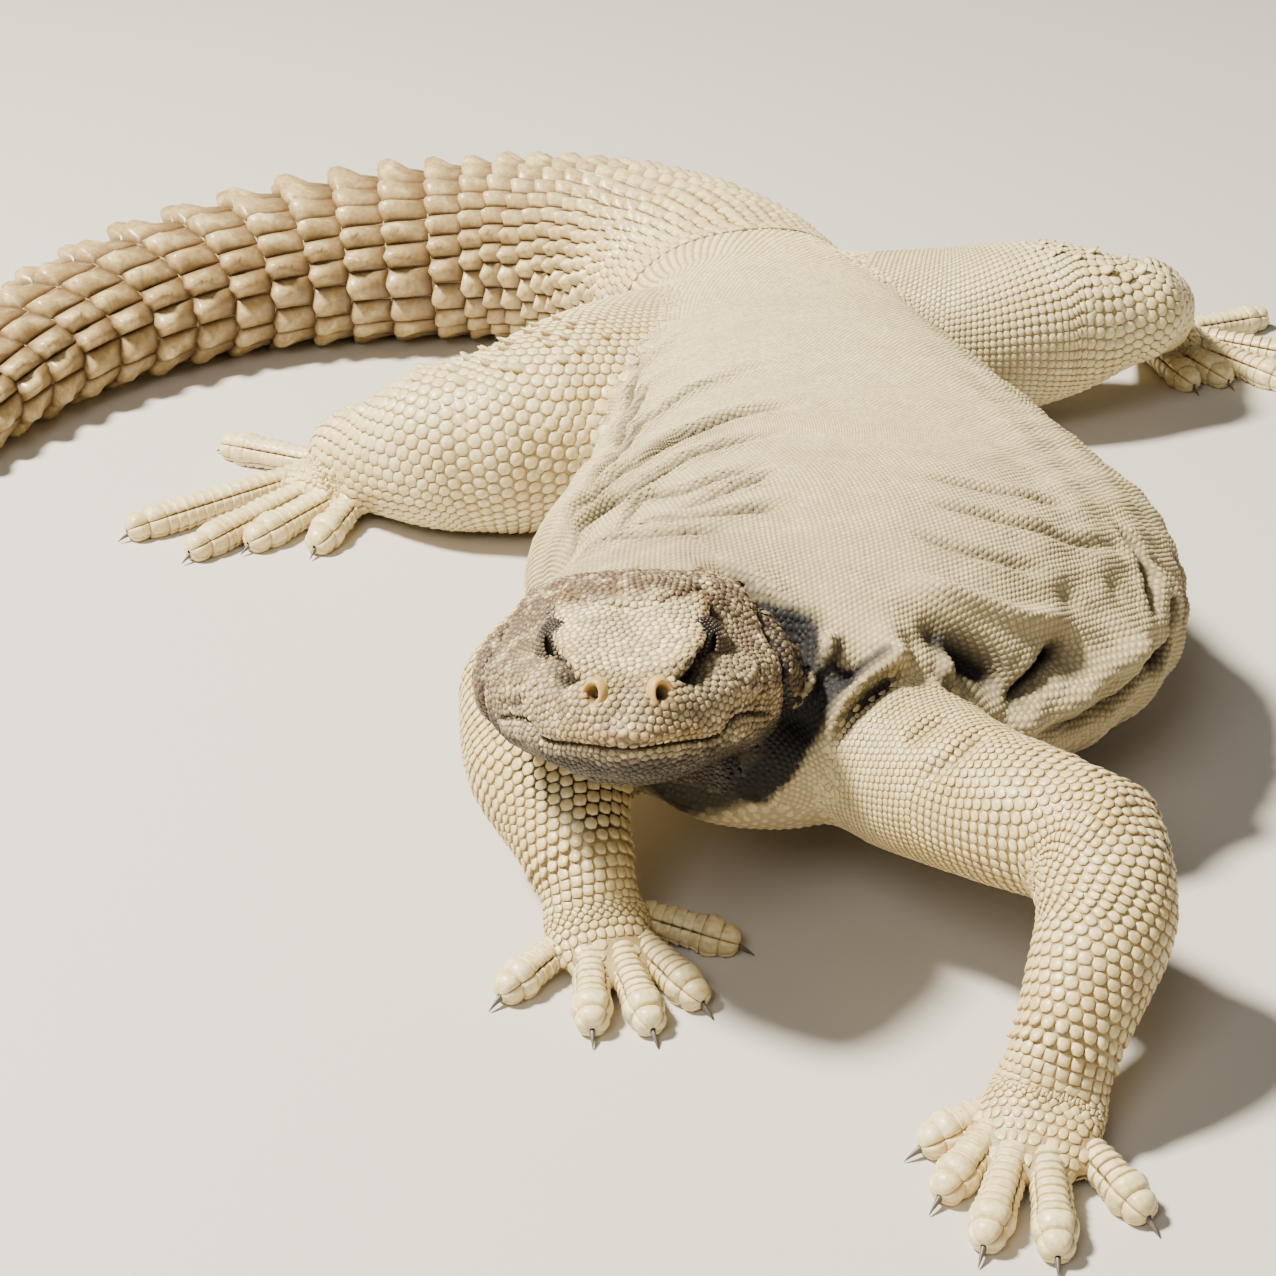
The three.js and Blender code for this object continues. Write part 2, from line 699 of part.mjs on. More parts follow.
const FINISH = {
  back: new THREE.MeshStandardMaterial({ color: "#b5aa95", roughness: 0.8, metalness: 0 }),
  head: new THREE.MeshStandardMaterial({ color: "#a89a80", roughness: 0.7, metalness: 0 }),
  limb: new THREE.MeshStandardMaterial({ color: "#d3bd8d", roughness: 0.55, metalness: 0 }),
  tail: new THREE.MeshStandardMaterial({ color: "#cdb78a", roughness: 0.55, metalness: 0 }),
  claw: new THREE.MeshStandardMaterial({ color: "#3f3a34", roughness: 0.45, metalness: 0 }),
  eye: new THREE.MeshStandardMaterial({ color: "#15110d", roughness: 0.12, metalness: 0 }),
};

function piece(name, geometry, material) {
  const mesh = new THREE.Mesh(geometry, material);
  mesh.name = name;
  return mesh;
}

// Assembly

const group = new THREE.Group();
group.position.set(-ORIGIN[0], -ORIGIN[1], -ORIGIN[2]);

const headGroup = new THREE.Group();
headGroup.position.set(...HEAD.at);
headGroup.rotation.set(radians(-HEAD.pitch), radians(-HEAD.roll), radians(HEAD.turn), "ZXY");
headGroup.add(piece("head", geometryOf(makeHead()), FINISH.head));
headGroup.add(piece("lower_jaw", geometryOf(makeJaw()), FINISH.head));
headGroup.add(eyeMesh(1), eyeMesh(-1));
group.add(headGroup);

function headTool() {
  headGroup.updateMatrix();
  const rings = evenly(0, HEAD.sections.length - 1, HEAD.rings).map((place) => headRing(place, GAP));
  rings[0].forEach((point) => point.setY(point.y + GAP));
  rings.flat().forEach((point) => point.applyMatrix4(headGroup.matrix));
  return loft(rings);
}

const trunkCut = trunkTool();
const neckCut = makeNeck(GAP);
const tailCut = tailTool();
const headCut = headTool();

makeTrunk().forEach(([name, solid]) => {
  const shape = name === "chest" ? cutBy(solid, [headCut]) : solid;
  group.add(piece(name, geometryOf(shape), FINISH.back));
});
group.add(piece("neck", geometryOf(cutBy(makeNeck(), [trunkCut, headCut])), FINISH.back));
makeTail().forEach(([name, solid]) => group.add(piece(name, geometryOf(solid), FINISH.tail)));

const limbCuts = {
  chest: [trunkCut, neckCut, headCut],
  pelvis: [trunkCut, tailCut],
};
Object.entries(LIMBS).forEach(([name, limb]) => {
  const solid = cutBy(restingLoft(limbRings(limb, 0)), limbCuts[limb.from]);
  limbCuts[name] = [loft(limbRings(limb, GAP)), ...limbCuts[limb.from]];
  group.add(piece(name, geometryOf(solid), FINISH.limb));
});

Object.entries(PAWS).forEach(([name, paw]) => {
  makePaw(name, paw, limbCuts[paw.from]).forEach(([part, solid]) => {
    const finish = part.startsWith("claw") ? FINISH.claw : FINISH.limb;
    group.add(piece(part, geometryOf(solid), finish));
  });
});

export default group;
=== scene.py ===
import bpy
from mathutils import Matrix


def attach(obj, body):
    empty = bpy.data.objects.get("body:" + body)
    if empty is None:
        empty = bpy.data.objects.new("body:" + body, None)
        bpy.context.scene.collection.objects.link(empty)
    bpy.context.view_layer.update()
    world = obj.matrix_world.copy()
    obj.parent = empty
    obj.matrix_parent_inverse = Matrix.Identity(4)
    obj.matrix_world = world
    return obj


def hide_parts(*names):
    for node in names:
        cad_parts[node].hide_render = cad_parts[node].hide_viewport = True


bl_info = {
    "name": "Egyptian Spiny-Tailed Lizard",
    "version": (1, 0, 0),
    "blender": (4, 5, 0),
    "location": "3D View > Sidebar > Lizard",
    "description": "A life-size spiny-tailed lizard: its hide, scales, tail scutes, eyes and claws",
    "category": "Add Mesh",
}

import math
from types import SimpleNamespace

import bmesh
import bpy
import numpy as np
from bpy.props import FloatProperty, FloatVectorProperty, PointerProperty
from bpy.types import Operator, Panel, PropertyGroup
from mathutils.bvhtree import BVHTree
from mathutils.kdtree import KDTree

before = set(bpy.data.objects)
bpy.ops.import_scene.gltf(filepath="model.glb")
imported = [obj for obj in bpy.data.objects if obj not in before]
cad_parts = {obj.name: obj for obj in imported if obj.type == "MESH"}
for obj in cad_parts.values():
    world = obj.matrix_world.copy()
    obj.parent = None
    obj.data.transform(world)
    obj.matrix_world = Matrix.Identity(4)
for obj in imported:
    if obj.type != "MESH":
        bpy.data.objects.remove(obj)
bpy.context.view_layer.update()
MM = 0.001
# How far every scale, plate and claw stays above the floor, in millimetres.
FLOOR_GAP = 0.02

# Sizes of the body, in millimetres. The animal faces -Y, its left side is +X, and it stands on z = 0.
ORIGIN = np.array([-1.0, 75.0, 0.0])
UP = np.array([0.0, 0.0, 1.0])
FORWARD = np.array([0.0, -1.0, 0.0])
SQUARENESS = 2.25

# A station: centre x, y, z, half width, height above the centre, depth below it.
SPINE = [
    (-33, -88, 36, 12, 8, 10),
    (-31, -84, 36, 22, 15, 16),
    (-25, -73, 37, 33, 23, 21),
    (-18, -59, 37, 44, 29, 23),
    (-10, -43, 36, 55, 33, 26),
    (-3, -25, 33, 66, 37, 29),
    (1, -6, 29, 73, 40, 29.5),
    (1, 15, 27, 68, 42, 28.5),
    (0, 41, 27, 60, 40, 28.5),
    (-2, 69, 27, 53, 37, 28.5),
    (-4, 98, 27, 47, 33, 28.5),
    (-7, 127, 27, 41, 29, 28.5),
    (-10, 155, 27, 38, 25, 28.5),
    (-17, 182, 26.5, 35, 22.5, 27.5),
    (-30, 210, 27, 35, 22, 28),
    (-53, 230, 27, 34.5, 21.5, 28),
    (-82, 239, 26, 33.5, 20.5, 27),
    (-113, 239, 24.5, 32, 19, 25.5),
    (-145, 234, 22.5, 30, 17.5, 23.5),
    (-175, 221, 20.5, 27, 15.5, 21.5),
    (-201, 199, 18, 24, 13.5, 19),
    (-220, 171, 15.5, 20, 11.5, 16.5),
    (-232, 140, 12.5, 15.5, 9, 13.5),
    (-238, 112, 9.5, 10, 6.5, 10.5),
    (-240, 90, 6, 5, 4, 6.5),
]
TAIL_START = 13.2

NECK = [
    (-13, -34, 49, 28, 17, 24),
    (-25, -48, 51, 28, 17, 24),
    (-37, -60, 53, 27, 15, 20),
    (-45, -73, 54, 24, 12, 16),
]

# Each limb segment: which way its upper side faces, and its stations.
LIMBS = {
    "upper_arm_right": (UP, [
        (-36, -20, 36, 18, 17, 17), (-50, -31, 35, 17, 16, 16),
        (-62, -43, 33, 15, 14, 14), (-68.5, -52, 32, 13, 13, 13),
    ]),
    "forearm_right": (FORWARD, [
        (-69, -54, 32, 12.5, 12.5, 12.5), (-65, -68, 27, 15.5, 12, 12),
        (-59, -81, 21, 13.5, 10.5, 10.5), (-55, -92, 14, 10, 8, 8),
    ]),
    "upper_arm_left": (UP, [
        (-10, -62, 37, 17, 17, 17), (4, -85, 36, 17, 16, 16),
        (20, -105, 38, 14.5, 14, 14), (36, -120, 40, 12.5, 12.5, 12.5),
    ]),
    "forearm_left": (FORWARD, [
        (37, -122, 40, 12, 12, 12), (37, -132, 32, 12.5, 12, 12),
        (32, -142, 23, 11, 10.5, 10.5), (27.5, -150, 14, 9.5, 8, 8),
    ]),
    "thigh_right": (UP, [
        (-16, 150, 28, 22, 18, 19), (-40, 124, 28, 26, 23, 25),
        (-60, 102, 27, 26, 25, 27), (-78, 93, 25, 22, 22, 25),
    ]),
    "shank_right": (UP, [
        (-76, 94, 25, 20, 20, 23), (-92, 94, 23, 20.5, 20.5, 23),
        (-107, 100, 18, 16, 16, 18), (-120, 108.5, 14, 11, 10.5, 12),
    ]),
    "thigh_left": (UP, [
        (10, 166, 30, 17, 17, 19), (42, 160, 29, 23, 21, 25),
        (70, 163, 30, 22, 20.5, 22), (91, 165, 31, 14.5, 14, 14),
    ]),
    "shank_left": (UP, [
        (91, 168, 30, 13, 13, 13), (98, 182, 25, 14, 13, 13),
        (102, 195, 19, 12.5, 11.5, 11.5), (104, 207, 14, 10, 8.5, 8.5),
    ]),
}

# Each palm or sole: its stations, its digits from knuckle to tip, and their half width.
PAWS = {
    "hand_right": (
        [(-55, -92, 13, 9, 6.5, 8), (-53, -98, 8, 10.5, 6, 9), (-51, -104, 5.5, 9, 3.5, 6)],
        [((-44, -92), (-28, -97)), ((-46, -99), (-34.5, -114.5)), ((-48.5, -104), (-43, -122.5)),
         ((-54, -105), (-53.4, -122.5)), ((-59, -101), (-69, -112.5))],
        3.1,
    ),
    "hand_left": (
        [(28, -147, 13, 9, 6.5, 8), (25, -154, 8, 11, 6, 9), (22, -162, 5.5, 9.5, 3.5, 6)],
        [((17, -151), (5.5, -157)), ((16, -157), (6.8, -169)), ((18.5, -163), (12, -181)),
         ((24, -164), (23, -183.5)), ((30, -160), (38, -174))],
        3.1,
    ),
    "foot_right": (
        [(-115, 104, 14, 10.5, 8, 9), (-122, 109, 9, 12.5, 6.5, 10), (-130, 113, 6, 11, 4, 7)],
        [((-118, 97), (-125, 77.5)), ((-123, 101), (-141, 79)), ((-128, 107), (-155, 74)),
         ((-132, 114), (-172, 85.5)), ((-130, 121), (-155, 136))],
        3.5,
    ),
    "foot_left": (
        [(104, 202, 14, 10.5, 8, 9), (110, 208, 9, 12.5, 6.5, 10), (117, 211, 6, 11, 4, 7)],
        [((106, 200), (113, 183)), ((112, 203), (123, 186)), ((118, 206), (140, 183)),
         ((121, 211), (156, 196)), ((120, 218), (143, 232))],
        3.5,
    ),
}
KNUCKLE_HEIGHT = 5
DIGIT_SINK = 0.45
DIGIT_SWELL = (0.95, 0.9, 1, 1, 1.12, 0.85)
CLAW_LENGTH = 6.2
CLAW_ROOT = 1.25

# The head's own frame: x across to its left, -y forward, z up.
HEAD_AT = (-45, -70, 53.5)
HEAD_PITCH = 15
HEAD_TURN = -2
HEAD_ROLL = 2
# A section: forward, half width, top, depth, how much the crown narrows.
HEAD_SECTIONS = [
    (0, 25, 13.5, 19, 0.2),
    (6, 28.5, 15, 21, 0.2),
    (14, 30, 16.3, 21.5, 0.22),
    (22, 29, 16.5, 20.5, 0.34),
    (30, 26, 15, 19, 0.44),
    (37, 22.5, 12, 18, 0.4),
    (43, 18.5, 9, 17, 0.34),
    (48, 14.5, 6, 15.5, 0.25),
    (52, 10.5, 3, 13.5, 0.15),
    (54.3, 5.5, 0.3, 10.5, 0.05),
]
CROWN_SQUARENESS = 3.4
EYE_RADIUS = 5.4
EYE_AT = (11.6, -30.0, 5.3)
SLIT_TILT = 35
NOSTRIL_AT = (5.3, -50.5, 1.7)
# The middle of the folds round an eye, and how far from the middle of the face its sides begin.
EYE_FOLDS_AT = (15.5, -33.0, 5.0)
FACE_SIDE = 14
# Lines of the face seen from the side, as forward and up: the mouth with its steps, the ear's crease and the
# cheek's.
MOUTH_LINE = [
    (27, -7.4), (31, -6.8), (36, -5.4), (40.5, -4.5), (42.3, -5.0), (44.2, -7.0), (47, -7.1), (50, -6.5),
    (57, -5.9),
]
MOUTH_CORNER = 28
EAR_LINE = [(5, 9), (15, 6.2), (21, 2.8), (24, -2), (22.5, -6), (18.5, -11), (18, -16), (16, -22)]
CHEEK_LINE = [(31, 1), (34, -4), (37, -9)]
# How far forward the ear's crease is at these levels, counted downwards.
EAR_LEVELS = [-9, -6, -2.8, 2, 6, 11, 16, 22]
EAR_FORWARD = [5, 15, 21, 24, 22.5, 18.5, 18, 16]
# The edge of the brow and the groove of the crown, as distance from the middle, forward, up.
BROW_LINE = [
    (12.5, 23, 14.0), (14.6, 28, 12.8), (14.6, 33, 10.8), (13.0, 38, 8.4), (10.6, 43, 6.0), (8.6, 46.5, 4.6),
]
CROWN_LINE = [(0, 31, 14.6), (5, 30, 15.0), (10, 26, 14.8), (13, 19, 14.0)]

# Valleys between folds of loose skin: depth, half width, and the line along which each runs.
FOLDS = [
    (2.8, 1.6, [(-61, -88, 42), (-58, -79, 51), (-51, -82, 57), (-40, -75, 62), (-30, -69, 65),
                (-20, -65, 67), (-9, -63, 68)]),
    (2.5, 1.5, [(-62, -96, 40), (-57, -86, 49), (-47, -91, 59), (-39, -87, 63), (-31, -83, 66),
                (-14, -77, 68)]),
    (2.8, 1.6, [(-57, -80, 50), (-51, -71, 58), (-44, -56, 59), (-37, -46, 61), (-30, -40, 63),
                (-16, -34, 66)]),
    (2.2, 1.5, [(-49, -64, 56), (-47, -49, 55), (-42, -17, 54), (-31, -13, 59)]),
    (1.7, 1.2, [(-46, -20, 50), (-45, -4, 48), (-41, 9, 50), (-32, 17, 55)]),
    (1.5, 1.5, [(-45, 22, 53), (-46, 8, 51), (-48, -27, 50), (-51, -50, 49)]),
    (1.8, 1.2, [(-54, -102, 50), (-47, -101, 58), (-43, -96, 61), (-34, -100, 65), (-18, -95, 68)]),
    (1.5, 1.2, [(-38, -108, 64), (-30, -107, 66), (-15, -99, 69)]),
    (2.2, 1.5, [(-52, -112, 55), (-44, -113, 62), (-34, -117, 66), (-24, -116, 68), (-13, -114, 68)]),
    (1.6, 1.3, [(-54, -128, 54), (-46, -124, 61), (-36, -126, 66), (-24, -124, 68)]),
    (3.2, 2.6, [(8, -147, 60), (15, -149, 56), (22, -150, 51), (27, -150, 46), (30, -147, 46)]),
    (2.6, 1.6, [(25, -151, 40), (29, -149, 43), (34, -145, 46), (38, -140, 48), (43, -135, 48)]),
    (1.7, 1.6, [(33, -149, 31), (39, -143, 32), (45, -138, 31), (54, -128, 33), (61, -118, 35),
                (66, -107, 35)]),
    (2.0, 1.6, [(11, -153, 54), (14, -156, 49), (20, -158, 44), (28, -156, 38)]),
    (2.2, 1.8, [(61, -100, 52), (67, -103, 44), (64, -112, 36), (58, -120, 30)]),
    (1.8, 1.4, [(56, -96, 58), (62, -107, 50), (58, -118, 42)]),
    (1.2, 1.3, [(70, -84, 48), (72, -92, 40), (69, -100, 32)]),
    (1.2, 1.3, [(12, -112, 68), (28, -114, 64), (44, -112, 58), (54, -106, 54)]),
    (1.0, 1.2, [(14, -102, 69), (30, -103, 65), (46, -100, 58)]),
    (1.0, 1.2, [(8, -124, 68), (22, -128, 65), (36, -126, 59)]),
    (2.6, 1.8, [(-33, -136, 68), (-22, -145, 65), (-16, -151, 61), (-12, -158, 57), (-10, -162, 53),
                (-13, -167, 46)]),
    (1.7, 1.6, [(5, -157, 53), (-1, -163, 51), (-5, -166, 48), (-8, -169, 43)]),
    (0.9, 1.5, [(4, -177, 49), (9, -173, 52), (14, -171, 52)]),
    (0.9, 1.5, [(6, -184, 45), (13, -182, 50), (20, -176, 51)]),
]
# Edges of folds that stand up: height, half width, and the line along which each runs.
RIDGES = [
    (3.0, 2.4, [(5, -139, 65), (15, -141, 62), (22, -141, 59), (29, -140, 56), (36, -136, 53),
                (42, -132, 50)]),
    (3.8, 2.2, [(-11, -170, 42), (-9, -168, 44), (-5, -164, 50), (-2, -161, 52), (3, -157, 54),
                (8, -152, 58)]),
    (2.8, 1.7, [(-14, -165, 51), (-11, -160, 55), (-9, -156, 57), (-7, -152, 60)]),
    (2.4, 1.8, [(10, -160, 46), (14, -158, 51), (16, -152, 55), (14, -146, 60)]),
    (2.0, 2.2, [(28, -152, 36), (34, -147, 38), (41, -141, 40), (48, -134, 41), (54, -126, 42),
                (61, -115, 43)]),
]
# Rolls and sacks of loose skin: centre, reach, and how far each swells.
ROLLS = [
    ((30, -149.5, 38), 4.5, 3.2),
    ((37, -144, 40), 4, 2.2),
    ((42, -140, 40), 4.5, 3.2),
    ((47, -134, 42), 4, 2.2),
    ((53, -127, 42), 5, 3.4),
    ((60, -117, 43), 5, 2.4),
    ((66, -104, 43), 5, 2.0),
    ((4, -153, 57), 4.5, 2.4),
]
# Hollows: centre, reach, depth.
HOLLOWS = [
    ((42, -129, 55), 3.2, 2.2),
    ((53, -119, 52), 2.8, 1.8),
    ((-15, -153, 59), 3.6, 3.2),
    ((-14, -167, 47), 4.6, 4.4),
    ((-4, -159, 54), 2.4, 2.4),
    ((39, -139, 47), 4.5, 4.2),
    ((7, -152, 56), 3.0, 2.0),
    ((20, -150, 50), 7.0, 3.4),
]
# Painted shadow of the head on the neck: how far from each of these lines it reaches, how dark it is, and the
# line.
NECK_SHADOWS = [
    (3.0, 0.95, [(-20, -148, 63), (-18, -149, 62), (-15, -150, 61), (-13, -153, 59), (-14, -156, 58)]),
    (1.8, 0.9, [(-6, -154, 59), (-7, -157, 57), (-9, -161, 54), (-12, -163, 52)]),
    (4.2, 0.95, [(-7, -161, 53), (-10, -164, 51), (-12, -167, 48), (-15, -168, 44), (-18, -169, 39),
                 (-22, -168, 34)]),
    (2.4, 0.95, [(2, -156, 56), (-3, -159, 54), (-7, -161, 53)]),
    (2.6, 0.95, [(-16, -158, 58), (-16, -167, 51), (-18, -168, 43), (-20, -168, 36)]),
    (2.0, 0.7, [(4, -158, 53), (-1, -163, 51), (-5, -166, 48), (-7, -168, 44)]),
]
# How far from the head's middle its painted shadow reaches over the neck next to and under it.
HEAD_SHADOW_REACH = 37
# How far from its line a fold still shows.
FOLD_REACH = 12


def linear(text):
    """A colour written as sRGB hex, turned linear."""
    parts = [int(text[index:index + 2], 16) / 255 for index in (1, 3, 5)]
    return tuple(part / 12.92 if part <= 0.04045 else ((part + 0.055) / 1.055) ** 2.4 for part in parts)


# Curves and forms


def unit(vectors):
    return vectors / np.maximum(np.linalg.norm(vectors, axis=-1, keepdims=True), 1e-9)


def smooth(values):
    part = np.clip(values, 0, 1)
    return part * part * (3 - 2 * part)


def hump(distance, spread):
    return np.exp(-((distance / spread) ** 2))


def power(values, squareness):
    return np.sign(values) * np.abs(values) ** (2 / squareness)


def full_turn(count):
    """Angles evenly spaced round a form, as one row."""
    return np.linspace(0, 2 * math.pi, count, endpoint=False)[None]


def run_of(line):
    """How far along a line of points each of them is."""
    return np.concatenate([[0], np.cumsum(np.linalg.norm(np.diff(line, axis=0), axis=1))])


def through(stations, places):
    """The smooth curve through the stations, at these places along it."""
    last = len(stations) - 1
    first = np.clip(np.floor(places).astype(int), 0, last - 1)
    part = (places - first)[..., None]
    a, b, c, d = (stations[np.clip(first + step, 0, last)] for step in (-1, 0, 1, 2))
    return b + 0.5 * part * (c - a + part * (2 * a - 5 * b + 4 * c - d + part * (3 * (b - c) + d - a)))


class Form:
    """A round form through stations. Places past the last one are on its rounded end."""

    def __init__(self, stations, up=UP, rounded=0.0):
        self.stations = np.array(stations, float)
        self.stations[:, :3] -= ORIGIN
        self.ups = np.broadcast_to(np.array(up, float), (len(stations), 3))
        self.last = len(stations) - 1
        self.end = self.last + rounded

    def points(self, places, angles, grow=0.0):
        places, angles = np.broadcast_arrays(np.asarray(places, float), np.asarray(angles, float))
        inner = np.clip(places, 0, self.last)
        at = through(self.stations, inner)
        ahead = through(self.stations, np.minimum(inner + 0.05, self.last))[..., :3]
        behind = through(self.stations, np.maximum(inner - 0.05, 0))[..., :3]
        along = unit(ahead - behind)
        numbers = np.arange(self.last + 1)
        up = np.stack([np.interp(inner, numbers, self.ups[:, axis]) for axis in range(3)], -1)
        across = unit(np.cross(along, up))
        rise = np.cross(across, along)
        turn = np.clip(places - self.last, 0, 1) * math.pi / 2
        sine, cosine = np.sin(angles), np.cos(angles)
        height = np.where(sine > 0, at[..., 4], at[..., 5])
        wide = power(cosine, SQUARENESS) * (at[..., 3] * np.cos(turn) + grow)
        high = power(sine, SQUARENESS) * (height * np.cos(turn) + grow)
        shift = np.sin(turn) * self.stations[-1, 3]
        return at[..., :3] + across * wide[..., None] + rise * high[..., None] + along * shift[..., None]


def turned(x, y, z):
    """The head's turn: about z, then x, then y, as three degrees."""
    (cx, sx), (cy, sy), (cz, sz) = ((math.cos(math.radians(v)), math.sin(math.radians(v))) for v in (x, y, z))
    about_x = np.array([[1, 0, 0], [0, cx, -sx], [0, sx, cx]])
    about_y = np.array([[cy, 0, sy], [0, 1, 0], [-sy, 0, cy]])
    about_z = np.array([[cz, -sz, 0], [sz, cz, 0], [0, 0, 1]])
    return about_z @ about_x @ about_y


HEAD_AXES = turned(-HEAD_PITCH, -HEAD_ROLL, HEAD_TURN)


def from_head(points):
    return points @ HEAD_AXES.T + np.array(HEAD_AT) - ORIGIN


def into_head(points):
    return (points - np.array(HEAD_AT) + ORIGIN) @ HEAD_AXES


class HeadForm:
    """The head without its features, through its sections and rounded over the snout."""

    def __init__(self):
        self.sections = np.array(HEAD_SECTIONS, float)
        self.last = len(HEAD_SECTIONS) - 1

    def local(self, places, angles, grow=0.0):
        places, angles = np.broadcast_arrays(np.asarray(places, float), np.asarray(angles, float))
        at = through(self.sections, np.clip(places, 0, self.last))
        turn = np.clip(places - self.last, 0, 1) * math.pi / 2
        sine, cosine = np.sin(angles), np.cos(angles)
        squareness = np.where(sine > 0, CROWN_SQUARENESS, SQUARENESS)
        height = np.where(sine > 0, at[..., 2], at[..., 3]) * np.cos(turn) + grow
        up = power(sine, squareness) * height
        crown = smooth(up / (0.6 * np.maximum(at[..., 2], 1)))
        across = power(cosine, squareness) * (at[..., 1] * np.cos(turn) + grow) * (1 - at[..., 4] * crown)
        return np.stack([across, -at[..., 0] - 2.2 * np.sin(turn), up - 4 * (1 - np.cos(turn))], -1)

    def points(self, places, angles, grow=0.0):
        return from_head(self.local(places, angles, grow))


def digit_form(knuckle, tip, width):
    heights = np.linspace(KNUCKLE_HEIGHT, width - DIGIT_SINK, len(DIGIT_SWELL))
    stations = []
    for part, size, height in zip(np.linspace(0, 1, len(DIGIT_SWELL)), DIGIT_SWELL, heights):
        x, y = (knuckle[axis] + (tip[axis] - knuckle[axis]) * part for axis in (0, 1))
        stations.append((x, y, height, width * size, width * size, width * size))
    return Form(stations, rounded=0.4)


def body_forms():
    """Every form of flesh by name: what it is, and the places from which to which it is skin."""
    forms = {
        "trunk": (Form(SPINE), 0, TAIL_START),
        "tail": (Form(SPINE), TAIL_START, len(SPINE) - 1),
        "neck": (Form(NECK), 0, len(NECK) - 1),
        "head": (HeadForm(), 0, len(HEAD_SECTIONS) - 0.2),
    }
    for name, (up, stations) in LIMBS.items():
        form = Form(stations, up, rounded=0.9)
        forms[name] = (form, 0, form.end)
    for name, (palm, digits, width) in PAWS.items():
        form = Form(palm, rounded=0.5)
        forms[name] = (form, 0, form.end)
        for index, (knuckle, tip) in enumerate(digits):
            form = digit_form(knuckle, tip, width)
            forms[f"{name}_{index + 1}"] = (form, 0, form.end)
    return forms


FORMS = body_forms()
NAMES = list(FORMS)
LIMB_PARTS = {
    "hand_right": ("upper_arm_right", "forearm_right"),
    "hand_left": ("upper_arm_left", "forearm_left"),
    "foot_right": ("thigh_right", "shank_right"),
    "foot_left": ("thigh_left", "shank_left"),
}


def whole_limb(paw):
    """One form from the body to the knuckles, along which the rows of scales run without a break."""
    stations, ups = [], []
    for name in LIMB_PARTS[paw]:
        up, part = LIMBS[name]
        first = 1 if stations else 0
        stations += part[first:]
        ups += [up] * (len(part) - first)
    palm = PAWS[paw][0]
    stations += palm[1:]
    ups += [UP] * (len(palm) - 1)
    return Form(stations, ups, rounded=0.5)


# Meshes


def new_mesh(name, points, *groups):
    """A smooth mesh from points in millimetres and groups of faces, alike in their corners in each group."""
    mesh = bpy.data.meshes.new(name)
    corners = np.concatenate([faces.ravel() for faces in groups]).astype(np.int32)
    sizes = np.concatenate([np.full(len(faces), faces.shape[1], np.int32) for faces in groups])
    mesh.vertices.add(len(points))
    mesh.vertices.foreach_set("co", (points * MM).astype(np.float32).ravel())
    mesh.loops.add(len(corners))
    mesh.loops.foreach_set("vertex_index", corners)
    mesh.polygons.add(len(sizes))
    mesh.polygons.foreach_set("loop_start", (np.cumsum(sizes) - sizes).astype(np.int32))
    mesh.update(calc_edges=True)
    mesh.validate()
    mesh.polygons.foreach_set("use_smooth", np.ones(len(mesh.polygons), bool))
    return mesh


def new_object(mesh, material):
    piece = bpy.data.objects.new(mesh.name, mesh)
    bpy.context.scene.collection.objects.link(piece)
    mesh.materials.append(material)
    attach(piece, "root")
    return piece


def add_values(mesh, **values):
    """Keeps named values on a mesh, each one number or one for every vertex."""
    for name, value in values.items():
        layer = mesh.attributes.new(name, "FLOAT", "POINT")
        value = np.broadcast_to(value, len(mesh.vertices))
        layer.data.foreach_set("value", np.ascontiguousarray(value, np.float32))


def read(items, key, size=1, kind=np.float32):
    """What a mesh keeps for all of these items."""
    values = np.empty(len(items) * size, kind)
    items.foreach_get(key, values)
    return values.reshape(-1, size) if size > 1 else values


def tree_of(points):
    """A search tree over these points."""
    tree = KDTree(len(points))
    for index, point in enumerate(points):
        tree.insert(point, index)
    tree.balance()
    return tree


def add_bake_map(mesh, places):
    """Gives every corner its place on the unwrapped skin."""
    layer = mesh.uv_layers.new(name="OFBake")
    corner = read(mesh.loops, "vertex_index", kind=np.int32)
    layer.data.foreach_set("uv", np.clip(places[corner], 0, 1).astype(np.float32).ravel())


def quads_between(index, after):
    """Quads between the rows of a grid of vertex numbers, and of their neighbours in the same row."""
    return np.stack([index[:-1], after[:-1], after[1:], index[1:]], -1).reshape(-1, 4)


def closed_grid(points):
    """Vertices and quads of a closed form from rings of points, with a fan over either end."""
    rows, sides = points.shape[:2]
    index = np.arange(rows * sides).reshape(rows, sides)
    following = np.roll(index, -1, axis=1)
    hubs = rows * sides + np.arange(2)
    fans = [
        np.stack([following[0], index[0], np.full(sides, hubs[0])], -1),
        np.stack([index[-1], following[-1], np.full(sides, hubs[1])], -1),
    ]
    vertices = np.concatenate([points.reshape(-1, 3), points[[0, -1]].mean(axis=1)])
    return vertices, quads_between(index, following), np.concatenate(fans)


def joined(name, grids, lowest):
    """One mesh of several closed forms, each given as rings of points, and none below the lowest level."""
    vertices, groups, total = [], [], 0
    for grid in grids:
        points, quads, fans = closed_grid(grid)
        vertices.append(points)
        groups += [quads + total, fans + total]
        total += len(points)
    vertices = np.concatenate(vertices)
    vertices[:, 2] = np.maximum(vertices[:, 2], lowest)
    return new_mesh(name, vertices, *groups)


# Skin

SKIN = SimpleNamespace(surface=None, laid=[])


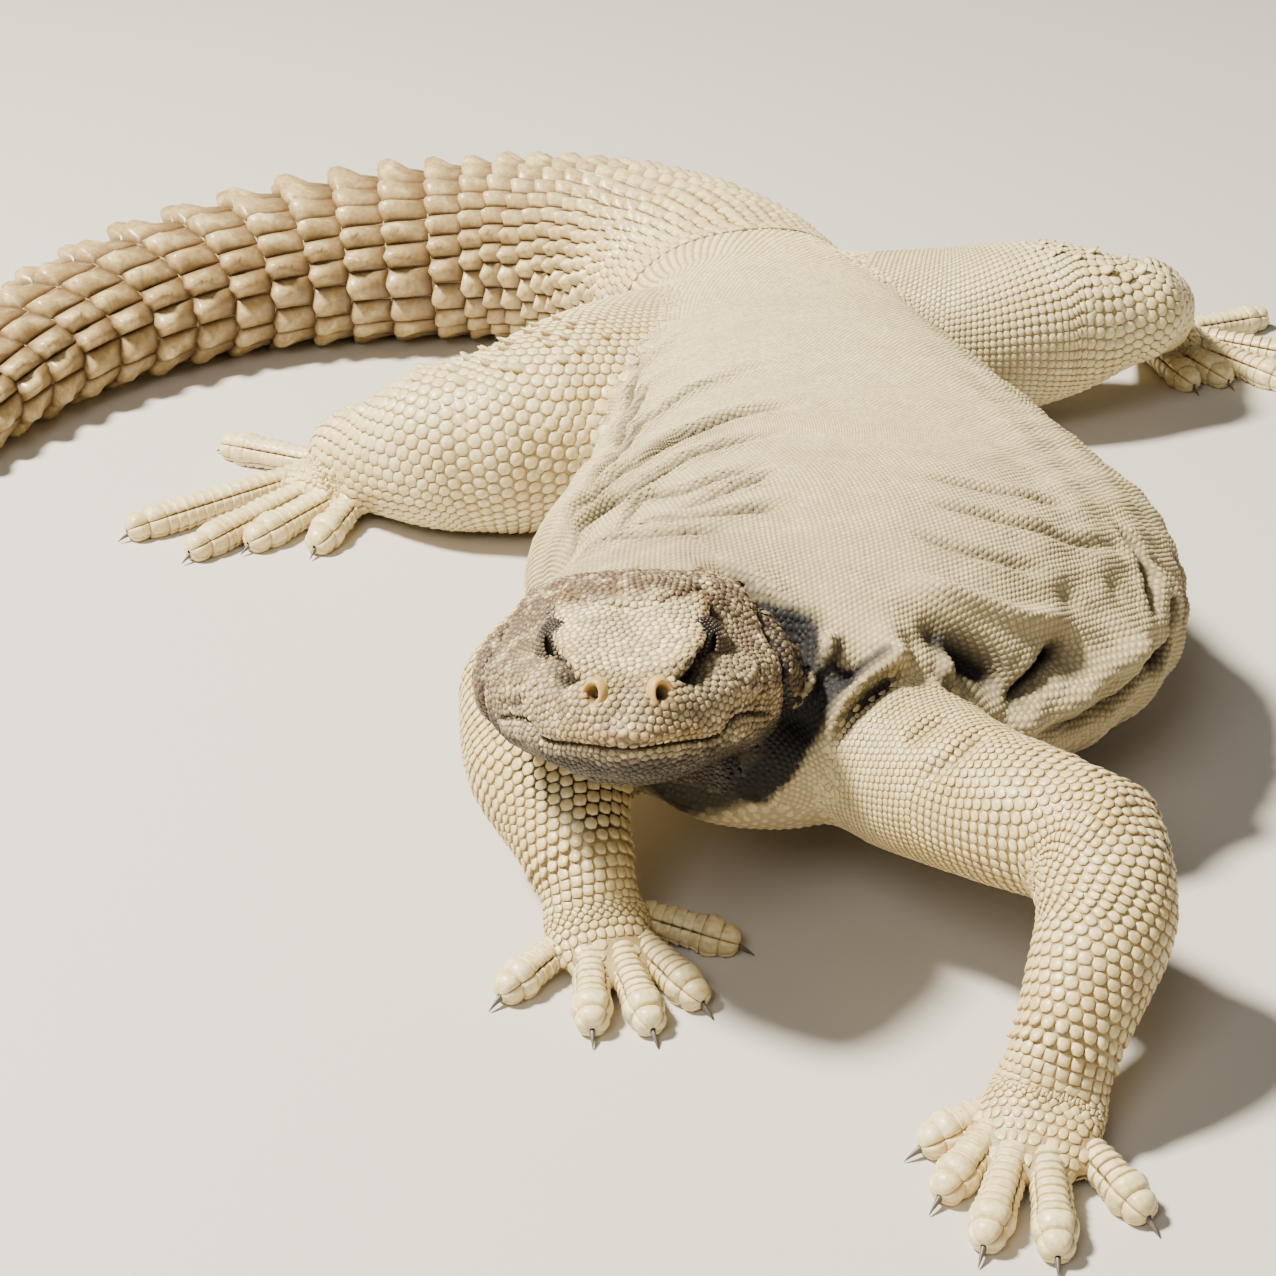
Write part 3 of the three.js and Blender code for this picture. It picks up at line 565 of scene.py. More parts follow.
def skin_core(depth, voxel):
    """All the flesh fused into one closed surface, as far inside the solids as the scales are deep."""
    spans = [(FORMS["trunk"][0], 0, len(SPINE) - 1, 260, 96)]
    for name in NAMES[2:]:
        spans.append((*FORMS[name], *((140, 120) if name == "head" else (60, 48))))
    mesh = joined("flesh", [
        form.points(np.linspace(start, stop, rows)[:, None], full_turn(sides), -depth)
        for form, start, stop, rows, sides in spans
    ], depth)
    core = bpy.data.objects.new("flesh", mesh)
    bpy.context.scene.collection.objects.link(core)
    union = core.modifiers.new("fused", "REMESH")
    union.mode = "VOXEL"
    union.voxel_size = voxel * MM
    fused = bpy.data.meshes.new_from_object(core.evaluated_get(bpy.context.evaluated_depsgraph_get()))
    bpy.data.objects.remove(core)
    bpy.data.meshes.remove(mesh)
    return fused


def points_of(mesh):
    return read(mesh.vertices, "co", 3).astype(float) / MM


def set_points(mesh, points):
    mesh.vertices.foreach_set("co", (points * MM).astype(np.float32).ravel())
    mesh.update()


def normals_of(mesh):
    return read(mesh.vertices, "normal", 3).astype(float)


def relax(mesh, passes, weight):
    """Draws each point of a mesh towards its neighbours, and gives the points."""
    points, edges = points_of(mesh), read(mesh.edges, "vertices", 2, np.int32)
    count = len(points)
    links = np.maximum(np.bincount(edges.ravel(), minlength=count), 1)[:, None]
    for _ in range(passes):
        total = np.stack([
            np.bincount(edges[:, 0], points[edges[:, 1], axis], count)
            + np.bincount(edges[:, 1], points[edges[:, 0], axis], count)
            for axis in range(3)
        ], -1)
        points = points + weight[:, None] * (total / links - points)
    set_points(mesh, points)
    return points


def form_finder():
    """A search tree over points of every form, and which form each point is of."""
    samples, owner = [], []
    for number, name in enumerate(NAMES):
        form, start, stop = FORMS[name]
        rows, sides = (140, 110) if name in ("trunk", "tail") else (36, 40)
        places = np.linspace(start, stop, rows)[:, None]
        found = form.points(places, full_turn(sides)).reshape(-1, 3)
        samples.append(found)
        owner.append(np.full(len(found), number))
    return tree_of(np.concatenate(samples)), np.concatenate(owner)


def near_line(points, line, within=1e3):
    """Distance from each point to a bent line, for the points that are not too far from it."""
    line = np.array(line, float)
    close = ((points > line.min(axis=0) - within) & (points < line.max(axis=0) + within)).all(axis=1)
    chosen = points[close]
    found = np.full(len(chosen), 1e3)
    for start, stop in zip(line[:-1], line[1:]):
        reach = stop - start
        part = np.clip(((chosen - start) @ reach) / max(reach @ reach, 1e-6), 0, 1)
        found = np.minimum(found, np.linalg.norm(chosen - start - part[:, None] * reach, axis=1))
    best = np.full(len(points), 1e3)
    best[close] = found
    return best


def lay_folds(mesh):
    """Lays the lines and centres of folds, ridges, rolls and hollows onto the smooth skin."""
    search = BVHTree.FromPolygons(points_of(mesh).tolist(), [tuple(face.vertices) for face in mesh.polygons])

    def laid(line):
        line = np.array(line, float)
        curve = through(line, np.linspace(0, len(line) - 1, 5 * len(line) - 4)) if len(line) > 1 else line
        return np.array([search.find_nearest(point)[0][:] for point in curve])

    SKIN.folds = [(depth, width, laid(line)) for depth, width, line in FOLDS]
    SKIN.ridges = [(height, width, laid(line)) for height, width, line in RIDGES]
    SKIN.throat = [(reach, share, laid(line)) for reach, share, line in NECK_SHADOWS]
    SKIN.rolls = [(laid([centre])[0], reach, height) for centre, reach, height in ROLLS]
    SKIN.hollows = [(laid([centre])[0], reach, depth) for centre, reach, depth in HOLLOWS]


def along_line(points, line):
    """How far towards its middle each point is along a bent line, 0 at either end."""
    line = np.array(line, float)
    reach = line[-1] - line[0]
    part = ((points - line[0]) @ reach) / (reach @ reach)
    return smooth(np.clip(part, 0, 1) * 4) * smooth((1 - np.clip(part, 0, 1)) * 4)


def ripples(points, length):
    """A wavering, wrinkle-like pattern across the body, between -1 and 1."""
    x, y, z = (points / length).T
    waver = 0.7 * np.sin(0.31 * x + 1.3) + 0.5 * np.sin(0.23 * y + 0.6 * z)
    first = np.sin(2 * math.pi * (0.9 * y + 0.22 * x + 0.35 * waver))
    second = np.sin(2 * math.pi * (0.55 * y - 0.4 * x + 0.3 * z + 0.5 * waver) + 2.1)
    return 0.6 * first + 0.4 * second


def body_relief(points):
    """How far the loose skin of the trunk and neck stands out, in millimetres."""
    relief = np.zeros(len(points))
    for depth, width, line in SKIN.folds:
        gap = near_line(points, line, FOLD_REACH)
        fade = 0.15 + 0.85 * along_line(points, line)
        relief -= 1.4 * depth * fade * hump(gap, 1.1 * width)
        relief += 0.3 * depth * fade * hump(gap - 2.3 * width, width)
    for height, width, line in SKIN.ridges:
        relief += 1.1 * height * along_line(points, line) * hump(near_line(points, line, FOLD_REACH), width)
    for centre, reach, height in SKIN.rolls:
        relief += 1.1 * height * hump(np.linalg.norm(points - centre, axis=1), reach)
    for centre, reach, depth in SKIN.hollows:
        relief -= depth * hump(np.linalg.norm(points - centre, axis=1), reach)
    loose = smooth((np.abs(points[:, 0] + 3) - 22) / 30) * smooth((60 - points[:, 1]) / 60)
    relief += 0.35 * ripples(points, 5.5) * (0.15 + loose)
    relief += 0.55 * ripples(points[:, [1, 0, 2]], 13) * (0.2 + loose)
    return relief


def mouth_height(forward):
    line = np.array(MOUTH_LINE)
    return np.interp(forward, line[:, 0], line[:, 1])


def face_of(local):
    """Points of the head as distance from the middle, forward and up, so that both sides are alike."""
    return np.stack([np.abs(local[:, 0]), -local[:, 1], local[:, 2]], -1)


def gap_to(face, place):
    across, back, up = place
    return np.linalg.norm(face - [across, -back, up], axis=1)


def beyond_brow(face):
    """Distance outwards from the edge of the brow, negative on the forehead, and how much edge there is."""
    line = np.array(BROW_LINE, float)
    forward = face[:, 1]
    across, up = (np.interp(forward, line[:, 1], line[:, axis]) for axis in (0, 2))
    side = np.sign((face[:, 0] - across) * 0.8 - (face[:, 2] - up) * 0.6)
    return side * near_line(face, line), smooth((forward - 21) / 6) * smooth((49 - forward) / 4)


def head_relief(local):
    """How far the face stands out from the plain form of the head, in millimetres."""
    face = face_of(local)
    across, forward, up = face.T
    beyond, edge = beyond_brow(face)
    ledge = np.where(beyond < 0, 2.0 * hump(beyond, 3.2), 2.0 - 4.8 * smooth(beyond / 0.9))
    ledge = np.where(beyond > 0.9, -2.8 * hump(beyond - 0.9, 2.6), ledge)
    relief = ledge * edge
    eye = gap_to(face, EYE_FOLDS_AT)
    below = smooth((5 - up) / 5) * hump(eye - 8, 3.4)
    relief += 0.4 * np.sin(2 * math.pi * eye / 2.2) * below + 0.6 * below
    trough = hump(across, 6) * hump(forward - 36, 9) * smooth(up / 6)
    relief -= 1.3 * trough
    relief -= 1.3 * hump(near_line(face, CROWN_LINE), 1.1)
    relief += 0.9 * hump(gap_to(face, (0, -18, 16)), 8)
    outer = smooth((across - FACE_SIDE) / 6)
    relief += 1.6 * hump(np.hypot(forward - 16, up + 7), 8) * outer
    ear = near_line(face[:, 1:], EAR_LINE)
    relief -= 2.0 * hump(ear, 1.2) * outer
    relief += 0.3 * hump(ear - 3.0, 1.4) * outer
    relief -= 1.0 * hump(near_line(face[:, 1:], CHEEK_LINE), 1.0) * outer
    line = up - mouth_height(forward)
    gape = smooth((forward - MOUTH_CORNER) / 3)
    mouth = near_line(face[:, 1:], MOUTH_LINE)
    relief -= 1.3 * hump(mouth, 0.45) * gape
    relief += 0.8 * hump(line - 2.3, 1.5) * gape * smooth((forward - 42) / 4)
    relief -= 1.0 * hump(line - 2.2, 1.8) * hump(forward - 36, 6)
    relief += 1.5 * hump(line + 2.9, 2.2) * smooth((forward - 26) / 5) * smooth((51 - forward) / 8)
    relief -= 0.9 * hump(line + 8.0, 1.6) * smooth((forward - 26) / 8)
    relief += 0.7 * hump(across, 4.5) * hump(line - 1.5, 1.8) * smooth((forward - 51) / 2)
    nose = gap_to(face, NOSTRIL_AT)
    relief += 1.4 * hump(nose, 3.4) - 3.6 * hump(nose, 1.5)
    relief += 0.35 * ripples(local, 4.0) * smooth((24 - forward) / 12)
    return relief


def valley_shade(points):
    """Painted shade in the valleys of the folds, from nothing to one."""
    shade = np.zeros(len(points))
    for depth, width, fold in SKIN.folds:
        valley = along_line(points, fold) * hump(near_line(points, fold, FOLD_REACH), 1.4 * width)
        shade = shade + np.minimum(0.4 * depth, 0.95) * valley
    return np.clip(shade, 0, 1)


def shades_and_marks(points, of_head):
    """Shares of the hide's other colours at these points, which are of the head or not.

    Dark is painted shade: in creases, folds and hollows, under the brow, in the nostrils, mouth and ear's
    crease, under the jaw, and where the head shades the neck. Ochre is for brows, nostrils and lip; dusk
    deepens the brown mottling, which is real on the crown and painted shade under the jaw, behind the ears
    and on the neck, and grows towards the front of the back; horn is for how far the grey of the back has
    given way to cream.
    """
    local = into_head(points)
    face = face_of(local)
    across, forward, up = face.T
    facing = of_head * smooth((forward + 6) / 8)
    left = smooth(local[:, 0] / 6 + 0.5)
    line = up - mouth_height(forward)
    nose = gap_to(face, NOSTRIL_AT)
    outer = smooth((across - FACE_SIDE) / 6)
    beyond, edge = beyond_brow(face)
    # Painted shade: the brow's shadow over the socket, just beyond its edge.
    dark = 0.95 * edge * smooth((beyond - 0.3) / 0.8) * smooth((5.2 - beyond) / 2.4)
    mouth = near_line(face[:, 1:], MOUTH_LINE)
    # Painted shade in the nostril pits and along the groove of the mouth.
    dark = dark + hump(nose, 1.4) + 0.95 * hump(mouth, 0.5) * smooth((forward - MOUTH_CORNER) / 2)
    # Painted shade in the ear's crease and behind it, in dark and dusk, heavier on the animal's left, away
    # from the light.
    ear = near_line(face[:, 1:], EAR_LINE)
    behind = smooth((np.interp(-up, EAR_LEVELS, EAR_FORWARD) - forward) / 2) * outer
    dark = (dark + (0.3 + 0.65 * left) * smooth((1.9 - ear) / 1.2) * outer + 0.45 * behind * left) * facing
    # Painted shade in the hollows of the loose skin.
    for centre, reach, depth in SKIN.hollows:
        dark = dark + 0.07 * depth * hump(np.linalg.norm(points - centre, axis=1), reach)
    # Painted shadow of the head along these lines of the neck.
    for reach, share, throat in SKIN.throat:
        dark = dark + share * smooth((reach - near_line(points, throat, FOLD_REACH)) / 1.5) * (1 - facing)
    # Painted shadow of the head over the neck and trunk next to it on its left side, and under it.
    away = np.linalg.norm(face * [1, 0, 1], axis=1)
    head_shadow = np.maximum(left * smooth((10 - up) / 6), smooth((-up - 6) / 4))
    dark = dark + 0.95 * head_shadow * smooth((HEAD_SHADOW_REACH - away) / 4) * smooth(forward / 6) * (1 - of_head)
    # Painted shade is kept off the lit edges of the ridges.
    for _, width, ridge in SKIN.ridges:
        dark = dark * (1 - 0.9 * (1 - facing) * hump(near_line(points, ridge, FOLD_REACH), 0.9 * width))
    # Painted shade under the jaw, which faces away from the light.
    dark = dark + 0.85 * smooth((-up - 7.5) / 3) * smooth((forward - 2) / 8) * facing
    dark = dark + valley_shade(points) * (1 - facing)
    lip = hump(line - 1.8, 1.8) * smooth((forward - 46) / 6)
    ochre = (0.3 * edge * hump(beyond + 1.2, 1.4) + 0.8 * hump(nose, 3.0) + 0.3 * lip) * facing
    crown = smooth((31 - forward) / 6) * smooth((up - 2) / 8)
    # Dusk on the cheeks; its part below the mouth is painted shade on the lower jaw.
    cheek = 0.65 + 0.3 * smooth((36 - forward) / 10) + 0.7 * smooth((-up - 7) / 5)
    cheek = cheek * (1 - edge * smooth((1.5 - beyond) / 1.5))
    # Dusk on the neck behind the head is painted shade of the head.
    neck = 0.8 * hump(gap_to(face, (8, 8, 10)), 14)
    fore = 0.5 * smooth((-points[:, 1] - 40) / 90)
    dusk = np.where(facing > 0.5, np.maximum(crown, cheek) + behind, fore + neck)
    horn = smooth((points[:, 1] - 30) / 75)
    return {key: np.clip(value, 0, 1) for key, value in
            (("dark", dark), ("ochre", ochre), ("dusk", dusk), ("horn", horn))}


def limb_horn(places):
    """On arms and legs, cream scales take over from grey granules a little way from the body."""
    return smooth((places - 0.7) / 1.1)


def places_on(form, points):
    """The nearest place along a form to each point."""
    fine = np.linspace(0, form.end, 120)
    tree = tree_of(through(form.stations, np.minimum(fine, form.last))[:, :3])
    return fine[[tree.find(point)[1] for point in points]]


def finer(mesh, chosen):
    """Halves the faces between the chosen vertices."""
    work = bmesh.new()
    work.from_mesh(mesh)
    edges = [edge for edge in work.edges if chosen[edge.verts[0].index] and chosen[edge.verts[1].index]]
    bmesh.ops.subdivide_edges(work, edges=edges, cuts=1, use_grid_fill=True)
    work.to_mesh(mesh)
    work.free()
    mesh.update()


def owners(tree, owner, points):
    return np.array([owner[tree.find(point)[1]] for point in points])


def of_parts(of_form, names):
    """Which of these form numbers are of one of these parts."""
    return np.isin(of_form, [NAMES.index(name) for name in names])


# How far the skin stays above the floor, in millimetres, and how often it is smoothed: the joins of the
# fused forms at first, and then the head's finer faces.
SKIN_LOWEST = 0.25
JOIN_PASSES = 14
HEAD_PASSES = 3


def make_skin(sizes):
    """The whole skin with its folds and face, and what the scales need to know of it."""
    mesh = skin_core(sizes.skin_depth, sizes.skin_grain)
    tree, owner = form_finder()
    of_form = owners(tree, owner, points_of(mesh))
    small = np.array([name.startswith(("hand", "foot")) for name in NAMES])[of_form]
    points = relax(mesh, JOIN_PASSES, np.where(small, 0.12, 0.5))
    lay_folds(mesh)
    head = NAMES.index("head")
    finer(mesh, (of_form == head) & (into_head(points)[:, 1] < 4))
    points = points_of(mesh)
    face = face_of(into_head(points))
    beyond, edge = beyond_brow(face)
    near = (np.abs(beyond) < 2.6) & (edge > 0.1)
    near |= gap_to(face, NOSTRIL_AT) < 4.2
    near |= (near_line(face[:, 1:], MOUTH_LINE) < 1.8) & (face[:, 1] > 24)
    near |= (near_line(face[:, 1:], EAR_LINE) < 2.2) & (face[:, 0] > FACE_SIDE)
    near &= owners(tree, owner, points) == head
    for _, width, line in SKIN.folds + SKIN.ridges:
        near |= near_line(points, line, FOLD_REACH) < 2.1 * width
    finer(mesh, near)
    of_form = owners(tree, owner, points_of(mesh))
    on_head = of_form == head
    base = relax(mesh, HEAD_PASSES, np.where(on_head, 0.4, 0.0))
    on_body = of_parts(of_form, ("trunk", "neck", "upper_arm_left"))
    relief = np.zeros(len(base))
    relief[on_body] = body_relief(base[on_body])
    relief[on_head] = head_relief(into_head(base[on_head]))
    points = base + normals_of(mesh) * relief[:, None]
    points[:, 2] = np.maximum(points[:, 2], SKIN_LOWEST)
    set_points(mesh, points)
    mesh.polygons.foreach_set("use_smooth", np.ones(len(mesh.polygons), bool))
    return mesh, of_form, base


def skin_surface(mesh, of_form, base):
    """The skin as the scales meet it, with its folds and before them, and the form under each face."""
    mesh.calc_loop_triangles()
    faces = read(mesh.loop_triangles, "vertices", 3, np.int32)
    points = points_of(mesh)
    normals = normals_of(mesh)
    return SimpleNamespace(
        search=BVHTree.FromPolygons(points.tolist(), faces.tolist()),
        smooth=BVHTree.FromPolygons(base.tolist(), faces.tolist()),
        base=base,
        points=points,
        normals=normals,
        faces=faces,
        out=unit(normals[faces].sum(axis=1)),
        form=of_form[faces[:, 0]],
    )


def nearest(search, points):
    """The nearest place on a surface to each point, the face it is on, and how far away it is."""
    found = [search.find_nearest(point) for point in points]
    return (np.array(part) for part in ([hit[0][:] for hit in found], [hit[2] for hit in found],
                                        [hit[3] for hit in found]))


def snapped(points):
    """The nearest points of the skin, their outward directions, forms and distances."""
    surface = SKIN.surface
    at, index, gap = nearest(surface.search, points)
    return at, surface.out[index], surface.form[index], gap


def carried(points):
    """Like snapped, but the way in which the smooth skin was folded, so that rows run on over every fold.

    Last comes the place on the smooth skin.
    """
    surface = SKIN.surface
    at, index, gap = nearest(surface.smooth, points)
    corners = surface.faces[index]
    first, second, third = (surface.base[corners[:, corner]] for corner in range(3))
    one, two, way = second - first, third - first, at - first
    pairs = ((one, one), (one, two), (two, two), (way, one), (way, two))
    a, b, c, d, e = ((p * q).sum(axis=1) for p, q in pairs)
    span = np.maximum(a * c - b * b, 1e-9)
    v = (c * d - b * e) / span
    w = (a * e - b * d) / span
    share = np.clip(np.stack([1 - v - w, v, w], -1), 0, 1)[..., None]
    out = unit((surface.normals[corners] * share).sum(axis=1))
    return (surface.points[corners] * share).sum(axis=1), out, surface.form[index], gap, at


# Scales


def rows_of(form, start, stop, length, width, arc=(-math.pi / 2, 1.5 * math.pi), wide_at=None):
    """Places and angles of scales in rows across a form. Length and width are in mm, at each place along it.

    Every row is measured from the middle of its arc, so that scales stay in line from row to row there, and
    every second row is half a scale further on.
    """
    fine = np.linspace(start, stop, 240)
    angles = np.linspace(arc[0], arc[1], 181)
    grid = form.points(fine[:, None], angles[None])
    longest = np.linalg.norm(np.diff(grid, axis=0), axis=2).max(axis=1)
    middles = (fine[1:] + fine[:-1]) / 2
    run = np.concatenate([[0], np.cumsum(longest / length(middles))])
    places = np.interp(np.arange(int(run[-1] + 0.5)) + 0.5, run, fine)
    between = (angles[1:] + angles[:-1]) / 2
    share = 1.0 if wide_at is None else wide_at(between)
    rings = form.points(places[:, None], angles[None])
    steps = np.linalg.norm(np.diff(rings, axis=1), axis=2) / (width(places)[:, None] * share)
    rows, turns = [], []
    for row, place in enumerate(places):
        run = np.concatenate([[0], np.cumsum(steps[row])])
        middle = np.interp((arc[0] + arc[1]) / 2, angles, run) + 0.5 * (row % 2)
        wanted = np.arange(math.ceil(0.3 - middle), math.floor(run[-1] - middle - 0.3) + 1) + middle
        turns.append(np.interp(wanted, run, angles))
        rows.append(np.full(len(wanted), place))
    return np.concatenate(rows), np.concatenate(turns)


def always(value):
    return lambda places: np.full(np.shape(places), float(value))


def graded(size, marks, shares):
    """A size that changes along a form: at these places it has these shares of the whole."""
    return lambda places: size * np.interp(places, marks, shares)


def along_skin(ways, out):
    """The same ways, turned to lie along the skin."""
    return unit(ways - out * (ways * out).sum(axis=1, keepdims=True))


def unrolled(form, places, angles, rect):
    """Where places of a form lie on its unwrap, within a rectangle: its left, bottom, width and height."""
    left, bottom, wide, high = rect
    turn = np.mod(angles, 2 * math.pi) / (2 * math.pi)
    return np.stack([left + wide * places / form.end, bottom + high * turn], -1)


def bed_on(form, names, places, angles, size, rect, reach=4.0):
    """Scales at these places of a form, on the skin of these parts, without those that lie elsewhere."""
    points = form.points(places, angles)
    beyond = form.points(places + 0.04, angles)
    at, out, owner, gap, root = carried(points)
    keep = (gap < reach) & of_parts(owner, names)
    lie = along_skin(beyond - points, out)
    uv = unrolled(form, places, angles, rect)
    return SimpleNamespace(at=at[keep], root=root[keep], out=out[keep], lie=lie[keep], uv=uv[keep],
                           size=size(places)[keep], place=places[keep], angle=angles[keep])


def part_of(bed, chosen):
    return SimpleNamespace(**{key: values[chosen] for key, values in vars(bed).items()})


def clear_of(bed, other):
    """The scales of a bed that don't lie on another's."""
    tree = tree_of(other.at)
    return part_of(bed, np.array([tree.find(point)[2] for point in bed.at]) > 0.8 * bed.size)


def neighbours(points, among, count):
    """The numbers of the nearest of these others to each point, which is one of them itself."""
    tree = tree_of(among)
    return np.array([[found[1] for found in tree.find_n(point, count + 1)] for point in points])[:, 1:]


def pushed(points, among, own, sizes, room):
    """Points moved a little away from those of the others that they crowd, each with a size of its own."""
    near = neighbours(points, among, 7)
    offset = points[:, None] - among[near]
    distance = np.maximum(np.linalg.norm(offset, axis=2), 1e-3)
    wanted = 0.5 * (own[:, None] + sizes[near]) * room
    push = np.maximum(1 - distance / wanted, 0) * wanted
    return (offset / distance[..., None] * push[..., None]).sum(axis=1) * 0.3


def outlines(bed, sides, reach):
    """The outline of each scale, out to half way to the scales round it."""
    near = neighbours(bed.at, bed.at, 8)
    across = np.cross(bed.lie, bed.out)
    offset = bed.at[near] - bed.at[:, None]
    x = (offset * across[:, None]).sum(-1)
    y = (offset * bed.lie[:, None]).sum(-1)
    distance = np.maximum(np.hypot(x, y), 0.05)
    bearing = np.arctan2(y, x)
    angles = (np.arange(sides) + 0.5) / sides * 2 * math.pi
    cosine = np.cos(angles[None, None] - bearing[..., None])
    radius = np.where(cosine > 0.3, 0.5 * distance[..., None] / np.maximum(cosine, 0.3), 1e6).min(axis=1)
    radius = np.minimum(radius, bed.size[:, None] * reach)
    return np.maximum(radius, bed.size[:, None] * 0.15)


# How a scale rises from its edge to its crown: share of the outline, height, and shade from seam to crown.
GRANULE = [(1.0, -0.3, 0.0), (0.6, 0.75, 0.85), (0.0, 1.0, 1.0)]
CONE = [(1.0, -0.3, 0.0), (0.0, 1.0, 1.0)]
BEAD = [(1.0, -0.5, 0.0), (0.86, 0.55, 0.4), (0.5, 0.95, 1.0), (0.0, 1.05, 1.0)]
PLATE = [(1.0, -0.45, 0.0), (0.92, 0.4, 0.28), (0.7, 0.88, 1.0), (0.0, 1.0, 1.0)]


# Half the width of a scale's patch on the unwrapped skin.
PATCH = 0.0015


def scale_mesh(name, bed, profile, sides, height, tilt=0.0, reach=0.75, seed=1, peak=0.0, own=None,
               of_head=False):
    """One mesh of all the scales of a bed. Tilt lifts the free edge, peak draws the crown towards it.

    Own gives the scales marks and painted shade that don't come from where they lie.
    """
    random = np.random.default_rng(seed)
    count = len(bed.at)
    SKIN.laid.append((bed.at, bed.size))
    if not hasattr(bed, "radius"):
        bed.radius = outlines(bed, sides, reach)
    radius = bed.radius
    angles = (np.arange(sides) + 0.5) / sides * 2 * math.pi
    across = np.cross(bed.lie, bed.out)
    heights = np.broadcast_to(height, count) * random.uniform(0.85, 1.15, count)
    peak = np.broadcast_to(peak, count)[:, None]
    x = np.cos(angles)[None] * radius
    y = np.sin(angles)[None] * radius
    points, shades, places = [], [], []
    mean = radius.mean(axis=1, keepdims=True)
    for share, lift, shade in profile:
        ring = 1 if share == 0 else sides
        local_x = x[:, :ring] * share
        local_y = y[:, :ring] * share + peak * mean * max(lift, 0)
        rise = heights[:, None] * (lift + (tilt * local_y / mean if lift > 0 else 0))
        point = bed.at[:, None] + across[:, None] * local_x[..., None] + bed.lie[:, None] * local_y[..., None]
        points.append(point + bed.out[:, None] * rise[..., None])
        shades.append(np.full((count, ring), shade))
        spot = np.stack(np.broadcast_arrays(local_x, local_y), -1)
        places.append(bed.uv[:, None] + PATCH * spot / mean[..., None])
    points = np.concatenate(points, axis=1)
    per = points.shape[1]
    step = np.arange(sides)
    after = (step + 1) % sides
    faces = []
    for level in range(len(profile) - 2):
        a, b = level * sides, (level + 1) * sides
        faces.append(np.stack([a + step, a + after, b + after], -1))
        faces.append(np.stack([a + step, b + after, b + step], -1))
    a = (len(profile) - 2) * sides
    faces.append(np.stack([a + step, a + after, np.full(sides, per - 1)], -1))
    faces = np.concatenate(faces)
    faces = (faces[None] + (np.arange(count) * per)[:, None, None]).reshape(-1, 3)
    points = points.reshape(-1, 3)
    points[:, 2] = np.maximum(points[:, 2], FLOOR_GAP)
    mesh = new_mesh(name, points, faces)
    marks = {"tint": random.uniform(0, 1, count), **shades_and_marks(getattr(bed, "root", bed.at), of_head)}
    marks.update(own or {})
    add_values(mesh, crest=np.concatenate(shades, axis=1).ravel(),
               **{key: np.repeat(np.broadcast_to(values, count), per) for key, values in marks.items()})
    add_bake_map(mesh, np.concatenate(places, axis=1).reshape(-1, 2))
    return mesh


PLATE_ACROSS = np.array([-1, -0.95, -0.8, -0.4, 0, 0.4, 0.8, 0.95, 1])
PLATE_ALONG = np.array([0, 0.04, 0.2, 0.42, 0.62, 0.76, 0.88, 0.96, 1.0])


def plate_mesh(name, form, plates, shape, lean=0.0, seed=5, rect=(0, 0, 1, 1), fade=0.0, dusty=99):
    """Curved plates on a form, whose edges go down into the skin.

    A plate is a row of: start and stop along the form, middle and half of its angle, height, and its own kind
    for the shape, which gives its height at each place across and along it. Lean draws its top forwards, fade
    paints shade on the lower parts of tall plates, and those past the dusty place are browner.
    """
    random = np.random.default_rng(seed)
    start, stop, middle, half, tall, kind = (np.array(plates).T)[:, :, None, None]
    across, along = np.meshgrid(PLATE_ACROSS, PLATE_ALONG)
    index = np.arange(across.size).reshape(across.shape)
    quads = quads_between(index[:, :-1], index[:, 1:])
    place = start + (stop - start) * along
    height = shape(across, along, kind)
    edge = (np.abs(across) == 1) | (along == 0) | (along == 1)
    rise = np.where(edge, -0.9, height * tall * random.uniform(0.88, 1.12, start.shape))
    points = form.points(place, middle + half * across, rise)
    beyond = form.points(stop + 0.02, middle) - form.points(stop - 0.02, middle)
    points += unit(beyond) * (lean * tall * hump(across, 0.5) * hump(along - 0.9, 0.16))[..., None]
    count, per = len(start), across.size
    points = points.reshape(-1, 3)
    points[:, 2] = np.maximum(points[:, 2], FLOOR_GAP)
    mesh = new_mesh(name, points, (quads[None] + (np.arange(count) * per)[:, None, None]).reshape(-1, 4))
    # With fade, the crest paints shade over the low parts of tall plates.
    crest = np.where(edge, 0.0, np.clip((height + 0.1) / (0.4 + fade * tall), 0, 1))
    add_values(mesh, crest=np.broadcast_to(crest, (count, *across.shape)).ravel(),
               tint=np.repeat(random.uniform(0, 1, count), per), dark=0, ochre=0,
               dusk=np.repeat(0.8 * smooth((start.ravel() - dusty) / 3), per), horn=1)
    spot = PATCH * np.stack([along * 2 - 1, across], -1)
    add_bake_map(mesh, (unrolled(form, start, middle, rect) + spot).reshape(-1, 2))
    return mesh


# Finishes


def add_node(tree, kind, inputs=None, **settings):
    """Adds a node with its settings, and with a link or a value for each of these inputs."""
    made = tree.nodes.new(kind)
    for key, value in settings.items():
        setattr(made, key, value)
    for key, value in (inputs or {}).items():
        if isinstance(value, bpy.types.NodeSocket):
            tree.links.new(value, made.inputs[key])
        else:
            made.inputs[key].default_value = value
    return made


# The sockets of a mix of two colours, whose names it shares with mixes of other kinds.
MIX_FIRST, MIX_SECOND, MIX_RESULT = 6, 7, 2


def blend_of(tree, factor, first, second):
    inputs = {0: factor}
    for key, value in ((MIX_FIRST, first), (MIX_SECOND, second)):
        inputs[key] = value if isinstance(value, bpy.types.NodeSocket) else (*value, 1)
    return add_node(tree, "ShaderNodeMix", inputs, data_type="RGBA").outputs[MIX_RESULT]


def value_of(tree, name):
    return add_node(tree, "ShaderNodeAttribute", attribute_name=name).outputs["Fac"]


def ramp_of(tree, factor, low, high):
    made = add_node(tree, "ShaderNodeMapRange", {"Value": factor, "From Min": low, "From Max": high})
    return made.outputs["Result"]


def times(tree, first, second):
    return add_node(tree, "ShaderNodeMath", {0: first, 1: second}, operation="MULTIPLY").outputs[0]


